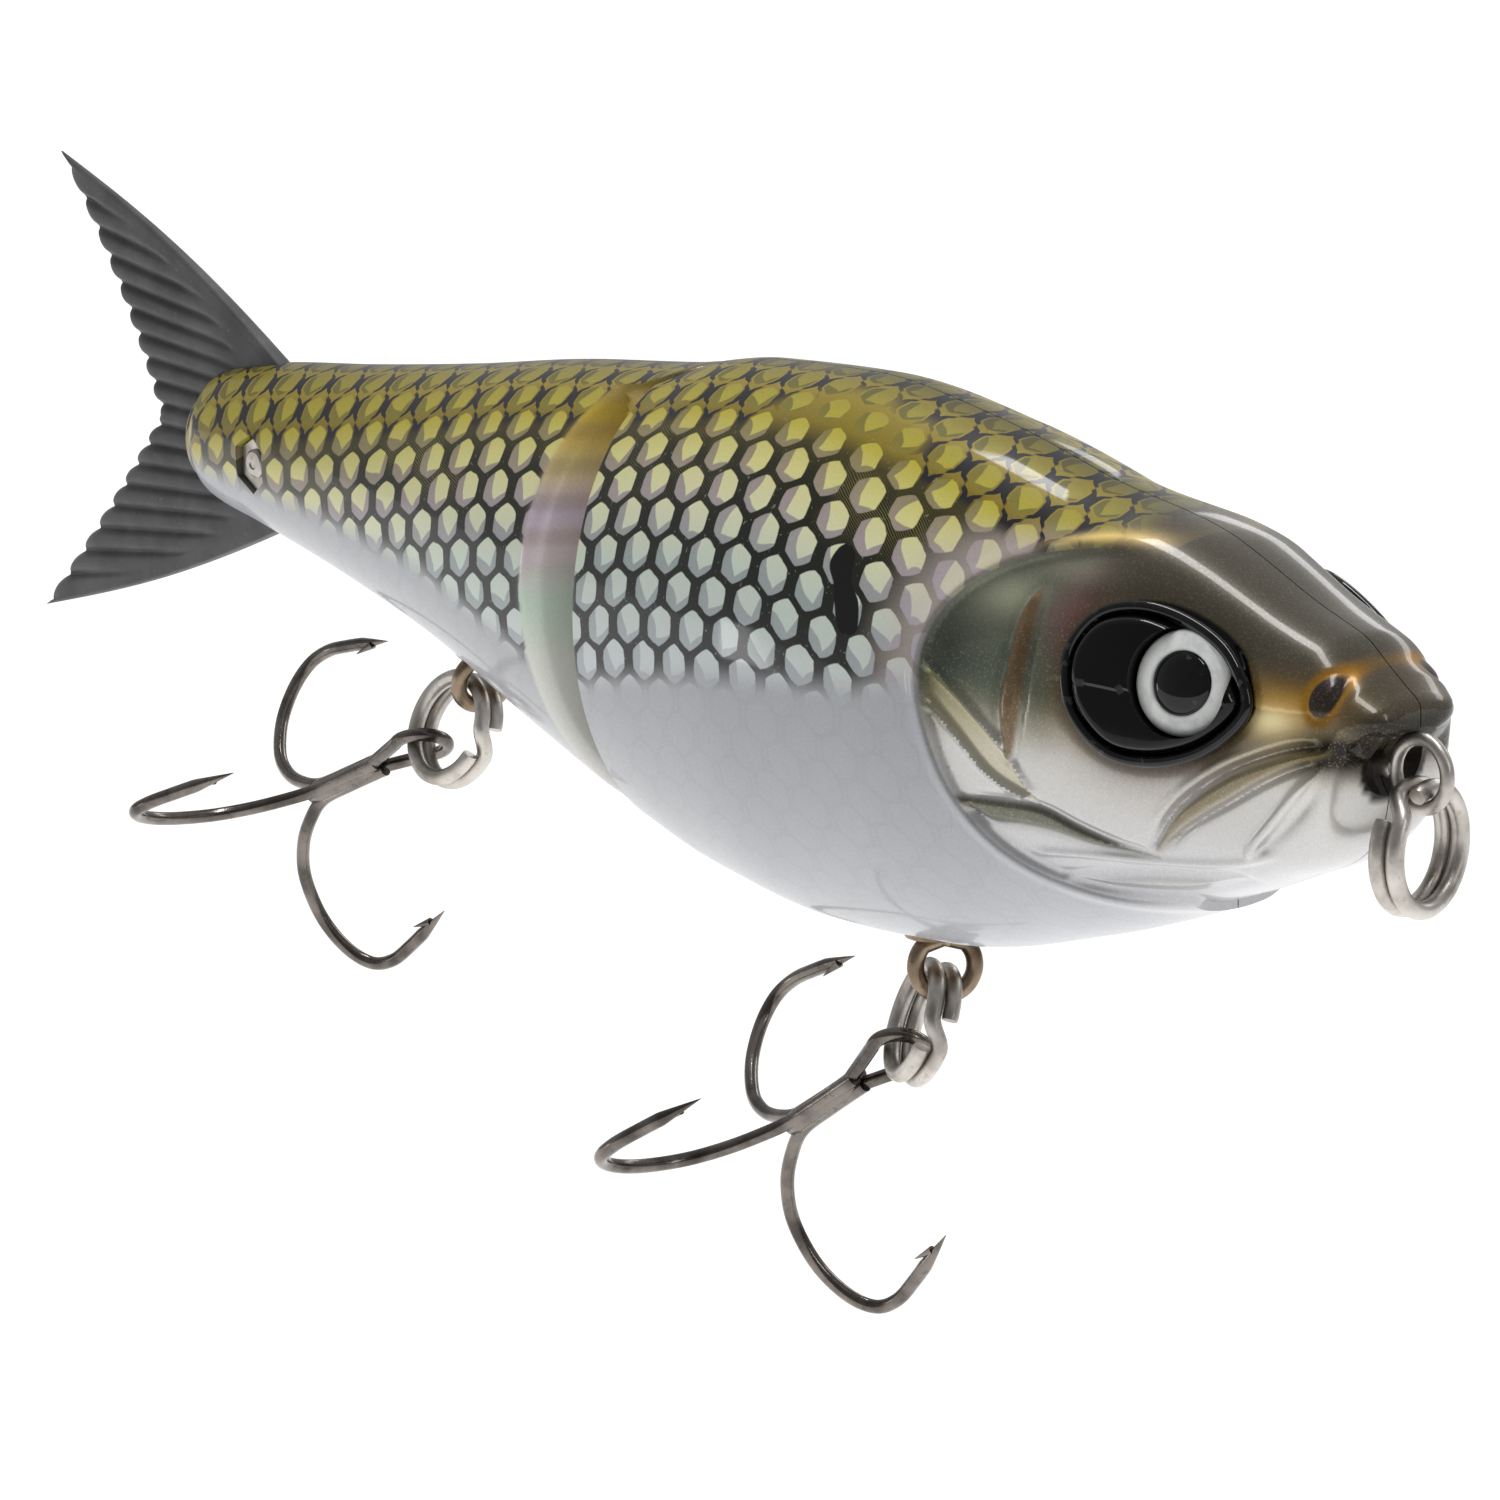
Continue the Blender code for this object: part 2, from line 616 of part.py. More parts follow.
def nut_body(name, grow=0.0):
    """Hexagon nut on the right flank, one flat upright."""
    x = NOSE.x - TAIL_SCREW_BACK
    width = section(TAIL_SCREW_BACK)[0]
    z = NOSE.z + TAIL_SCREW_LIFT
    inner = -(width - 2.9 * MM)
    outer = inner - TAIL_NUT_THICKNESS
    radius = TAIL_NUT_ACROSS / 2 / cos(pi / 6)
    bm = bmesh.new()
    deep = 4 * MM if grow else 0.0
    low, high = outer - deep, inner + grow
    bmesh.ops.create_cone(bm, cap_ends=True, segments=6, radius1=radius + grow,
                          radius2=radius + grow, depth=high - low)
    bm.transform(frame(Vector((x, (low + high) / 2, z)), Vector((0, 1, 0)), Vector((0, 0, 1))))
    return mesh_object(name, bm)


# ---- swivel eyes, rings and hooks --------------------------------------------------
class Hanger:
    """Where the eye, ring and hook of one hanger sit in the hanging pose."""

    def __init__(self, place, pose):
        yaw, lean, swing, seat, hook_swing, turn = (radians(a) for a in pose)
        self.down = place.to_3x3() @ Vector((0, 0, 1))
        self.flange = place.translation
        facing = Vector((cos(yaw), sin(yaw), 0))
        self.eye_normal = (facing - facing.dot(self.down) * self.down).normalized()
        self.eye_side = self.down.cross(self.eye_normal)
        self.eye_centre = self.flange + SWIVEL_LOOP_DROP * self.down
        out = self.down * cos(lean) + self.eye_side * sin(lean)
        self.ring_pivot = self.eye_centre + SWIVEL_LOOP_RADIUS * out
        self.ring_axis = self.eye_side * cos(lean) - self.down * sin(lean)
        self.ring_down = out * cos(swing) + self.ring_axis.cross(out) * sin(swing)
        self.ring_centre = self.ring_pivot + (RING_MEAN - RING_LIFT) * self.ring_down
        across = self.ring_axis.cross(self.ring_down)
        radial = self.ring_down * cos(seat) + across * sin(seat)
        self.hook_pivot = self.ring_centre + RING_MEAN * radial
        self.hook_axis = across * cos(seat) - self.ring_down * sin(seat)
        self.hook_down = radial * cos(hook_swing) + self.ring_axis * sin(hook_swing)
        self.turn = turn


def swivel_eye(name, hanger):
    """Teardrop loop with a stem whose head turns inside the barrel."""
    shoulder = radians(45)
    steps = 16
    apex = 0.2 * MM - SWIVEL_LOOP_DROP
    points = [(0.0, apex)]
    for k in range(steps + 1):
        a = -pi / 2 - shoulder + (pi + 2 * shoulder) * k / steps
        points.append((SWIVEL_LOOP_RADIUS * sin(a), SWIVEL_LOOP_RADIUS * cos(a)))
    loop = [hanger.eye_centre + hanger.eye_side * s + hanger.down * d for s, d in points]
    obj = wire(name, loop, SWIVEL_WIRE / 2, closed=True)
    low = hanger.flange + hanger.down * 0.55 * MM
    top = hanger.flange - hanger.down * (HEAD_TOP - HEAD_THICKNESS / 2)
    stem = cylinder("stem", low, top, STEM_RADIUS, sides=12)
    head = cylinder("head", hanger.flange - hanger.down * (HEAD_TOP - HEAD_THICKNESS),
                    hanger.flange - hanger.down * HEAD_TOP, HEAD_RADIUS, sides=16)
    return join(obj, [stem, head])


def split_ring(name, centre, axis, start_direction):
    """Two flat turns of wire joined by a short crossing, ends left open."""
    crossing = radians(46)
    step = radians(20)
    u = (start_direction - start_direction.dot(axis) * axis).normalized()
    v = axis.cross(u)
    total = 4 * pi - crossing
    count = int(round(total / step))
    points = []
    for k in range(count + 1):
        a = total * k / count
        t = max(0.0, min(1.0, (a - (2 * pi - crossing)) / crossing))
        offset = RING_LANE * (2 * t * t * (3 - 2 * t) - 1)
        points.append(centre + RING_MEAN * (cos(a) * u + sin(a) * v) + offset * axis)
    return wire(name, points, RING_WIRE / 2)


# Centre line of one prong: distance from the eye's centre and from the shank's axis,
# as shares of HOOK_REACH and HOOK_SPREAD.
PRONG = ((0.24, 0.045), (0.45, 0.045), (0.62, 0.055), (0.74, 0.130), (0.86, 0.262),
         (0.955, 0.460), (1.000, 0.735), (0.975, 0.975), (0.900, 1.125), (0.790, 1.160),
         (0.660, 1.120), (0.520, 1.060), (0.392, 1.000))


def along(points, count):
    """Evenly spread samples of a smooth curve through 2-D points."""
    def bend(i, t):
        p = [points[max(0, min(len(points) - 1, i + k))] for k in (-1, 0, 1, 2)]
        return [0.5 * (2 * p[1][c] + (p[2][c] - p[0][c]) * t
                       + (2 * p[0][c] - 5 * p[1][c] + 4 * p[2][c] - p[3][c]) * t * t
                       + (3 * p[1][c] - p[0][c] - 3 * p[2][c] + p[3][c]) * t ** 3)
                for c in (0, 1)]
    fine = [bend(i, k / 12) for i in range(len(points) - 1) for k in range(12)]
    fine.append(list(points[-1]))
    travel = [0.0]
    for a, b in zip(fine, fine[1:]):
        travel.append(travel[-1] + hypot(b[0] - a[0], b[1] - a[1]))
    samples = []
    for n in range(count):
        goal = travel[-1] * n / (count - 1)
        i = max(k for k in range(len(fine) - 1) if travel[k] <= goal + 1e-12)
        t = (goal - travel[i]) / (travel[i + 1] - travel[i])
        samples.append([fine[i][c] + (fine[i + 1][c] - fine[i][c]) * t for c in (0, 1)])
    return samples


def treble_hook(name, hanger):
    """Three bent prongs brazed to one eyed shank."""
    down, side = hanger.hook_down, hanger.hook_axis
    third = down.cross(side)
    start = hanger.hook_pivot
    shank_from, shank_to = 0.24 * HOOK_REACH, 0.64 * HOOK_REACH
    obj = cylinder(name, start + shank_from * down, start + shank_to * down,
                   HOOK_WIRE * 0.78, sides=12, end_radius=HOOK_WIRE * 0.92)
    pieces = [hook_loop("loop", start, down, third)]
    profile = along([(HOOK_REACH * s, HOOK_SPREAD * r) for s, r in PRONG], 20)
    taper = [min(1.0, 0.16 + 0.27 * (len(profile) - 1 - k)) for k in range(len(profile))]
    for k in range(3):
        a = hanger.turn + 2 * pi * k / 3
        radial = side * cos(a) + third * sin(a)
        points = [start + s * down + r * radial for s, r in profile]
        pieces.append(wire(f"prong{k}", points, HOOK_WIRE / 2, tip=taper))
    return join(obj, pieces)


def hook_loop(name, start, down, third):
    """Eye of the hook: round end about the ring's wire, legs closing on the shank."""
    steps = 14
    spread = radians(118)
    points = [(0.36 * HOOK_REACH, 0.40 * HOOK_WIRE), (0.27 * HOOK_REACH, 0.45 * HOOK_WIRE)]
    for k in range(steps + 1):
        a = spread - 2 * spread * k / steps
        points.append((-HOOK_EYE_RADIUS * cos(a), HOOK_EYE_RADIUS * sin(a)))
    points += [(0.27 * HOOK_REACH, -0.45 * HOOK_WIRE), (0.36 * HOOK_REACH, -0.40 * HOOK_WIRE)]
    return wire(name, [start + s * down + t * third for s, t in points], HOOK_WIRE / 2)


# ---- tail fin ----------------------------------------------------------------------
def tail_point(t, v):
    """Point of the fin's plane: t from root to trailing edge, v from bottom to top."""
    root = Vector((FIN_ROOT_X, 0, NOSE.z + v * 4.6 * MM + 0.4 * MM))
    fork = Vector((TAIL_END_X - 0.26 * TAIL_LENGTH, 0, NOSE.z + 0.03 * TAIL_SPAN))
    upper = Vector((TAIL_END_X - 0.83 * TAIL_LENGTH, 0, NOSE.z + 0.552 * TAIL_SPAN))
    lower = Vector((TAIL_END_X - TAIL_LENGTH, 0, NOSE.z - 0.448 * TAIL_SPAN))
    tip = upper if v > 0 else lower
    edge = fork.lerp(tip, abs(v))
    edge.x += 1.2 * MM * sin(pi * min(1.0, abs(v))) * (1 if v > 0 else 0.4)
    point = root.lerp(edge, t)
    point.z += (1.6 if v > 0 else 1.2) * MM * v * sin(pi * t)
    return point


def tail_plate(name, grow=0.0):
    """Forked plate, thick at the root and thin at the trailing edge."""
    columns, rows = 8, 14
    bm = bmesh.new()
    sheets = []
    for side in (-1, 1):
        sheet = []
        for i in range(columns + 1):
            t = i / columns
            half = TAIL_THICKNESS / 2 * (1 - 0.55 * t) + grow
            line = []
            for j in range(rows + 1):
                v = 2 * j / rows - 1
                point = tail_point(t, v)
                if grow:
                    point.z += grow * v * 1.5
                    point.x += grow * (1.5 if i == 0 else 0)
                edge = 1 - 0.45 * abs(v) ** 6
                line.append(bm.verts.new((point.x, side * half * edge, point.z)))
            sheet.append(line)
        sheets.append(sheet)
    near, far = sheets
    for i in range(columns):
        for j in range(rows):
            for s in (near, far):
                bm.faces.new((s[i][j], s[i + 1][j], s[i + 1][j + 1], s[i][j + 1]))
    for i in range(columns):
        for j in (0, rows):
            bm.faces.new((near[i][j], near[i + 1][j], far[i + 1][j], far[i][j]))
    for j in range(rows):
        for i in (0, columns):
            bm.faces.new((near[i][j], near[i][j + 1], far[i][j + 1], far[i][j]))
    return mesh_object(name, bm)


def tail_fin(name):
    fin = tail_plate(name)
    hole = screw_body("hole", FIT_GAP)
    return finish(cut(fin, [hole]), RUBBER, Vector((NOSE.x - TAIL_SCREW_BACK, 0, NOSE.z)))


# ---- eyes --------------------------------------------------------------------------
def eye_disc(name, place):
    low = -EYE_SOCKET_DEPTH + FIT_GAP
    high = low + EYE_DISC_THICKNESS
    profile = ((0, low), (EYE_RADIUS, low), (EYE_RADIUS, high), (0, high))
    return lathe(name, profile, place, sides=24)


def eye_lens(name, place):
    """Domed clear cap over the iris."""
    base = -EYE_SOCKET_DEPTH + EYE_DISC_THICKNESS + 2 * FIT_GAP
    edge = 0.3 * MM
    steps = 4
    profile = [(0, base), (EYE_RADIUS, base)]
    for k in range(1, steps + 1):
        a = (pi / 2) * k / steps
        profile.append((EYE_RADIUS * cos(a), base + edge + (EYE_DOME - edge) * sin(a)))
    profile[-1] = (0, base + EYE_DOME)
    return lathe(name, profile, place, sides=24)


# ---- assembly ----------------------------------------------------------------------
def build_front():
    for side, tag in ((-1, "right"), (1, "left")):
        front_shell(side, f"front_shell_{tag}")
        place = eye_place(side)
        finish(eye_disc(f"eye_disc_{tag}", place), IRIS, place.translation)
        finish(eye_lens(f"eye_lens_{tag}", place), CLEAR, place.translation)
    finish(line_tie_eye("line_tie_eye"), STAINLESS, Vector((0, 0, 0)))
    finish(ballast_slug("front_ballast", BALLASTS["front_ballast"]), LEAD)
    finish(swivel_barrel("belly_swivel_barrel", BELLY_PLACE), NICKEL, BELLY_PLACE.translation)
    for name, height in HINGE_EYE_HEIGHTS.items():
        finish(hinge_eye(name, height), STAINLESS, Vector((HINGE_X, 0, NOSE.z + height)))


def build_rear():
    axis = pivot("body_hinge", Vector((HINGE_X, 0, 0)))
    pieces = [rear_shell(-1, "rear_shell_right"), rear_shell(1, "rear_shell_left")]
    pin = cylinder("hinge_pin", Vector((HINGE_X, 0, PIN_BOTTOM)),
                   Vector((HINGE_X, 0, PIN_TOP)), PIN_DIAMETER / 2, sides=16)
    pieces.append(finish(pin, STAINLESS, Vector((HINGE_X, 0, 0))))
    pieces.append(finish(ballast_slug("rear_ballast", BALLASTS["rear_ballast"]), LEAD))
    barrel = swivel_barrel("rear_swivel_barrel", REAR_PLACE)
    pieces.append(finish(barrel, NICKEL, REAR_PLACE.translation))
    pieces.append(tail_fin("tail_fin"))
    pieces.append(finish(screw_body("tail_screw"), STAINLESS))
    nut = cut(nut_body("tail_nut"), [screw_body("thread", FIT_GAP)])
    pieces.append(finish(nut, STAINLESS))
    for piece in pieces:
        piece.parent = axis
        piece.matrix_parent_inverse = axis.matrix_world.inverted()
    return axis


def build_hanger(prefix, place, pose, body):
    """Swivel eye, split ring and treble hook, each on the one before."""
    hanger = Hanger(place, pose)
    eye = finish(swivel_eye(f"{prefix}_swivel_eye", hanger), NICKEL, hanger.flange, body)
    bpy.context.view_layer.update()
    ring = split_ring(f"{prefix}_split_ring", hanger.ring_centre, hanger.ring_axis,
                      -hanger.ring_axis.cross(hanger.ring_down))
    ring = finish(ring, STAINLESS, hanger.ring_pivot, eye)
    bpy.context.view_layer.update()
    hook = treble_hook(f"{prefix}_treble_hook", hanger)
    finish(hook, BLACK_NICKEL, hanger.hook_pivot, ring)


def build_tie_ring():
    yaw = radians(TIE_RING_YAW)
    centre = Vector((0, 0, -TIE_RING_OFFSET - RING_MEAN))
    ring = split_ring("line_tie_split_ring", centre, Vector((cos(yaw), sin(yaw), 0)),
                      Vector((-sin(yaw), cos(yaw), 0)))
    finish(ring, STAINLESS, Vector((0, 0, 0)))


def main():
    for obj in list(bpy.data.objects):
        bpy.data.objects.remove(obj)
    build_front()
    rear = build_rear()
    build_hanger("belly", BELLY_PLACE, BELLY_POSE, None)
    build_hanger("rear", REAR_PLACE, REAR_POSE, rear)
    build_tie_ring()


main()
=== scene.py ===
"""Looks of the two-piece swimbait: painted shells with a moulded head, glossy eyes,
wire hardware, treble hooks and a ribbed rubber tail, in a white studio."""
import json
from math import acos, cos, pi, radians, sin, sqrt, tan

import bmesh
import bpy
import numpy as np
from mathutils import Matrix, Vector


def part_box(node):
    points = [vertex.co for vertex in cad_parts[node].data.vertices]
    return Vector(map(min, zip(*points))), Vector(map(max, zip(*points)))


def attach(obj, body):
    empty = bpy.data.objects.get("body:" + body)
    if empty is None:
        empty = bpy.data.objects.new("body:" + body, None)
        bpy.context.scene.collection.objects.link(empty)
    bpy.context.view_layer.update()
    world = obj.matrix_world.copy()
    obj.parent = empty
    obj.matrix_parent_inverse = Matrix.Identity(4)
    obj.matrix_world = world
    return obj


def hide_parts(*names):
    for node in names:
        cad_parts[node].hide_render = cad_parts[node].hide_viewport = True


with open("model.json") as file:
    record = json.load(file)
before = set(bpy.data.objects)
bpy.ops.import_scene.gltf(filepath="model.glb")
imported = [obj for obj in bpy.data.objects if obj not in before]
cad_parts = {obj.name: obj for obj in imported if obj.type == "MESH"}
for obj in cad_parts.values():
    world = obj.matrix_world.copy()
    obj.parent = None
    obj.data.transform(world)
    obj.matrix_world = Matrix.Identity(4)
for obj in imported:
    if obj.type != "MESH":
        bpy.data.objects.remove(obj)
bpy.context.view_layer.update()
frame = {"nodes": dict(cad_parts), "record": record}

MM = 0.001
JOINTS = {joint["name"]: joint for joint in frame["record"]["behaviour"]["joints"]}

# ---- the body's own sizes, as the CAD has them, with a rounder jaw -------------------
BODY_LENGTH = 154.8 * MM
BODY_WIDTH = 32.2 * MM
BODY_HEIGHT = 45.0 * MM
NOSE = Vector((1.5 * MM, 0, 4.6 * MM))
HINGE_X = JOINTS["body_hinge"]["pos_m"][0]
RIM_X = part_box("front_shell_right")[0].x
TAIL_END_X = NOSE.x - BODY_LENGTH
KNUCKLE_RADIUS = 5.0 * MM
RECESS_RADIUS = 5.6             # in millimetres, as turned() takes it
HINGE_SWING = 25.0
CORNER_X = HINGE_X - 4.9 * MM
BODY_STATIONS = (
    (0.0000, 0.000, -0.010, -0.030),
    (0.0097, 0.124, 0.022, -0.045),
    (0.0245, 0.180, 0.043, -0.085),
    (0.0330, 0.208, 0.052, -0.210),
    (0.0480, 0.240, 0.074, -0.272),
    (0.0775, 0.286, 0.110, -0.322),
    (0.1421, 0.366, 0.202, -0.422),
    (0.2196, 0.441, 0.280, -0.515),
    (0.3101, 0.494, 0.353, -0.591),
    (0.3973, 0.500, 0.391, -0.607),
    (0.4845, 0.466, 0.380, -0.573),
    (0.5433, 0.429, 0.348, -0.522),
    (0.6460, 0.370, 0.311, -0.404),
    (0.7429, 0.298, 0.262, -0.289),
    (0.8398, 0.230, 0.220, -0.207),
    (0.9302, 0.175, 0.186, -0.145),
    (0.9780, 0.135, 0.150, -0.115),
    (1.0000, 0.080, 0.060, -0.060),
)
MOUTH_CENTRE = (-0.5, -4.7)     # back and height from the nose tip, in millimetres
MOUTH_REACH = (6.2, 4.6, 3.8)   # along, across and up, in millimetres
MOUTH_PAINT_EDGE = 0.15         # how far its dark paint comes out of it
EYE_BACK = 0.108 * BODY_LENGTH
EYE_LIFT = 0.9 * MM
EYE_RADIUS = 4.0                # in millimetres, as turned() takes it
EYE_YAW, EYE_PITCH = 18.0, 12.0


# ---- curves and surfaces of the body ------------------------------------------------
def monotone(xs, ys, x):
    """Monotone cubic through knots, for an array of places."""
    xs, ys, x = np.asarray(xs, float), np.asarray(ys, float), np.asarray(x, float)
    steps = np.diff(ys) / np.diff(xs)
    slopes = np.empty_like(ys)
    slopes[0], slopes[-1] = steps[0], steps[-1]
    product = steps[:-1] * steps[1:]
    safe = np.where(product > 0, steps[:-1] + steps[1:], 1)
    slopes[1:-1] = np.where(product > 0, 2 * product / safe, 0)
    i = np.clip(np.searchsorted(xs, x, side="right") - 1, 0, len(xs) - 2)
    width = xs[i + 1] - xs[i]
    t = (x - xs[i]) / width
    value = (2 * t**3 - 3 * t**2 + 1) * ys[i] + (t**3 - 2 * t**2 + t) * width * slopes[i]
    return value + (3 * t**2 - 2 * t**3) * ys[i + 1] + (t**3 - t**2) * width * slopes[i + 1]


KNOTS = [sqrt(row[0]) for row in BODY_STATIONS]


def section(back):
    """Half width, top and bottom (above the nose tip) at distances behind it."""
    u = np.sqrt(np.clip(np.asarray(back, float) / BODY_LENGTH, 0, 1))
    width = BODY_WIDTH * monotone(KNOTS, [row[1] for row in BODY_STATIONS], u)
    top = BODY_HEIGHT * monotone(KNOTS, [row[2] for row in BODY_STATIONS], u)
    bottom = BODY_HEIGHT * monotone(KNOTS, [row[3] for row in BODY_STATIONS], u)
    return width, top, bottom


def smoothstep(low, high, x):
    t = np.clip((x - low) / (high - low), 0, 1)
    return t * t * (3 - 2 * t)


def catmull(p, i, t):
    """Point of a smooth curve between the places p[i] and p[i + 1]."""
    return 0.5 * (2 * p[i] + (p[i + 1] - p[i - 1]) * t
                  + (2 * p[i - 1] - 5 * p[i] + 4 * p[i + 1] - p[i + 2]) * t**2
                  + (3 * p[i] - p[i - 1] - 3 * p[i + 1] + p[i + 2]) * t**3)


def spline(points, count=48, closed=False):
    """Smooth curve through a few (back, height) points given in millimetres."""
    p = np.array(points, float) * MM
    if closed:
        p = np.vstack([p[-1:], p, p[:2]])
    else:
        p = np.vstack([2 * p[0] - p[1], p, 2 * p[-1] - p[-2]])
    shares = np.linspace(0, 1, max(3, count // (len(p) - 3)), endpoint=False)[:, None]
    return np.vstack([*(catmull(p, i, shares) for i in range(1, len(p) - 2)), p[-2:-1]])


def steps(low, high, count):
    """Evenly spread plain numbers, both ends included."""
    return np.linspace(low, high, count).tolist()


def distance_to(curve, back, height):
    """Distance of places to a curve, and how far along it the nearest point is (0 to 1)."""
    best = np.full(back.shape, 1e9)
    share = np.zeros(back.shape)
    for i, (a, b) in enumerate(zip(curve, curve[1:])):
        d = b - a
        t = np.clip(((back - a[0]) * d[0] + (height - a[1]) * d[1]) / (d @ d), 0, 1)
        gap = np.hypot(back - a[0] - t * d[0], height - a[1] - t * d[1])
        nearer = gap < best
        best = np.where(nearer, gap, best)
        share = np.where(nearer, (i + t) / (len(curve) - 1), share)
    return best, share


def inside(outline, back, height):
    """True for places within a closed outline."""
    result = np.zeros(back.shape, bool)
    for a, b in zip(outline, np.roll(outline, -1, axis=0)):
        crosses = (a[1] > height) != (b[1] > height)
        rise = np.where(b[1] == a[1], 1, b[1] - a[1])
        result ^= crosses & (back < (b[0] - a[0]) * (height - a[1]) / rise + a[0])
    return result


# ---- features moulded in the head: (back, height) from the nose tip in millimetres ---
GILL_EDGE = ((22.0, 9.3), (27.6, 9.3), (33.4, 8.0), (37.2, 5.8), (39.5, 2.7), (40.1, -1.0),
             (38.9, -5.5), (36.7, -10.3), (33.6, -13.9), (29.8, -16.1), (25.0, -17.3),
             (20.0, -17.2))
SLOT_EDGE = ((31.1, 6.1), (32.0, 4.4), (32.0, 0.6), (32.2, -3.0), (31.2, -6.9), (30.4, -3.0),
             (30.4, 0.6), (30.6, 3.6))
BLADE_UPPER = ((40.0, -0.3), (35.8, -2.9), (31.9, -6.0), (29.1, -9.5))
BLADE_LOWER = ((39.6, -3.2), (36.4, -5.7), (33.2, -8.4), (29.6, -9.9))
BAND_UPPER = ((36.8, -10.4), (32.3, -10.1), (28.7, -10.1), (25.5, -11.3), (22.5, -12.3),
              (19.4, -12.8))
BAND_LOWER = ((36.2, -11.2), (34.0, -12.2), (31.3, -12.1), (28.5, -12.2), (24.5, -12.9),
              (19.4, -13.0))
THROAT_SLIT = ((31.4, -14.4), (27.1, -13.9), (19.7, -13.4), (13.0, -12.4), (8.8, -10.9))
THROAT_LENS_TOP = ((28.6, -16.2), (23.7, -15.1), (18.6, -14.3), (13.6, -14.0))
THROAT_LENS_LOW = ((28.6, -16.2), (24.4, -16.5), (18.8, -15.9), (13.6, -14.0))
MAXILLA_UPPER = ((4.2, -2.3), (6.8, -2.6), (9.7, -3.7), (12.8, -5.4), (16.3, -8.1),
                 (19.0, -11.2), (20.2, -12.7))
MAXILLA_LOWER = ((4.6, -3.2), (8.1, -4.8), (12.1, -7.4), (15.8, -9.9), (19.0, -12.6))
MAXILLA_CREASE = ((5.0, -1.7), (7.6, -2.0), (10.4, -3.2), (13.6, -5.0), (17.1, -7.9),
                  (19.6, -10.9))
MOUTH_LINE = ((2.2, -1.5), (4.4, -3.6), (6.6, -5.6), (9.2, -8.8), (12.0, -11.9))
JAW_RIDGE = ((3.0, -2.4), (5.0, -5.2), (8.0, -8.8), (11.0, -11.6))
BROW = ((27.5, 3.6), (24.6, 6.4), (20.4, 6.9), (15.7, 5.3), (12.2, 3.3), (8.6, 2.0))
SOCKET = ((11.2, 0.5), (13.4, 3.4), (17.2, 5.3), (21.2, 6.0), (24.6, 5.0), (26.4, 2.0),
          (25.6, -1.9), (22.4, -4.7), (18.6, -5.1), (14.6, -3.9), (11.8, -1.6))
NOSTRIL = (5.9, 1.1)
NOSTRIL_RADIUS = 1.45
SPOT = ((50.6, 6.9), (49.1, 6.4), (48.6, 4.4), (47.3, 3.0), (46.9, 0.8), (48.7, 0.6),
        (49.8, 2.6), (50.4, 4.0), (51.4, 5.4))
BALL = (21.8, 0.6, 3.5)         # black bead behind the iris: back, height, radius


OUTLINES = {
    "slot_mm": spline(SLOT_EDGE, 96, closed=True),
    "blade_mm": np.vstack([spline(BLADE_UPPER), spline(BLADE_LOWER)[::-1]]),
    "band_mm": np.vstack([spline(BAND_UPPER), spline(BAND_LOWER)[::-1]]),
    "jowl_mm": np.vstack([spline(MAXILLA_UPPER), spline(MAXILLA_LOWER)[::-1]]),
    "lens_mm": np.vstack([spline(THROAT_LENS_TOP), spline(THROAT_LENS_LOW)[::-1]]),
    "socket_mm": spline(SOCKET, 96, closed=True),
    "spot_mm": spline(SPOT, 96, closed=True),
}


def gill_distance(back, height):
    """Signed distance to the gill cover's edge: positive on the head's side."""
    curve = spline(GILL_EDGE, 96)
    gap = distance_to(curve, back, height)[0]
    low, high, ahead = -30 * MM, 30 * MM, -5 * MM
    outline = np.vstack([curve, [[curve[-1][0], low], [ahead, low], [ahead, high],
                                 [curve[0][0], high]]])
    return np.where(inside(outline, back, height), gap, -gap)


def nostril_gap(back, height):
    """Distance from the nostril's middle, measured as if it were round."""
    return np.hypot((back - NOSTRIL[0] * MM) * 1.7, height - NOSTRIL[1] * MM)


def feature_distances(back, height):
    """Signed distance, in millimetres, to each feature's edge: positive inside it."""
    result = {"gill_mm": gill_distance(back, height) / MM}
    for name, outline in OUTLINES.items():
        gap = distance_to(np.vstack([outline, outline[:1]]), back, height)[0] / MM
        result[name] = np.where(inside(outline, back, height), gap, -gap)
    result["nostril_mm"] = NOSTRIL_RADIUS - nostril_gap(back, height) / MM
    return result


def bell(x, middle, half):
    """Unit hump round a middle."""
    return np.exp(-((x - middle) / half) ** 2)


# Heights and distances of the relief are in millimetres.
RELIEF_AREAS = (                # feature, rise, and where its slope starts and ends
    ("slot_mm", -0.50, -0.10, 0.5), ("blade_mm", 0.30, -0.10, 0.5),
    ("band_mm", -0.34, -0.10, 0.7), ("lens_mm", -0.30, -0.05, 0.7),
    ("jowl_mm", -0.45, -0.05, 0.8), ("socket_mm", -1.15, 0.15, 1.3))
RELIEF_EDGES = (                # feature, rise, distance from its edge and half width
    ("slot_mm", 0.16, -0.35, 0.30), ("lens_mm", 0.12, -0.35, 0.30),
    ("socket_mm", 0.30, -0.30, 0.80), ("nostril_mm", 0.10, -0.15, 0.40))
RELIEF_LINES = (                # curve, rise, half width, share that fades at each end
    (BLADE_UPPER, -0.32, 0.28, 0.05), (BLADE_LOWER, -0.26, 0.30, 0.05),
    (BAND_UPPER, 0.22, 0.35, 0.12), (BAND_LOWER, 0.16, 0.35, 0.12),
    (THROAT_SLIT, -0.30, 0.32, 0.12), (MAXILLA_UPPER, 0.44, 0.34, 0.12),
    (MAXILLA_CREASE, -0.22, 0.30, 0.12), (MAXILLA_LOWER, 0.34, 0.30, 0.12),
    (MOUTH_LINE, -0.50, 0.34, 0.06), (JAW_RIDGE, 0.38, 0.50, 0.12), (BROW, 0.45, 1.4, 0.25))


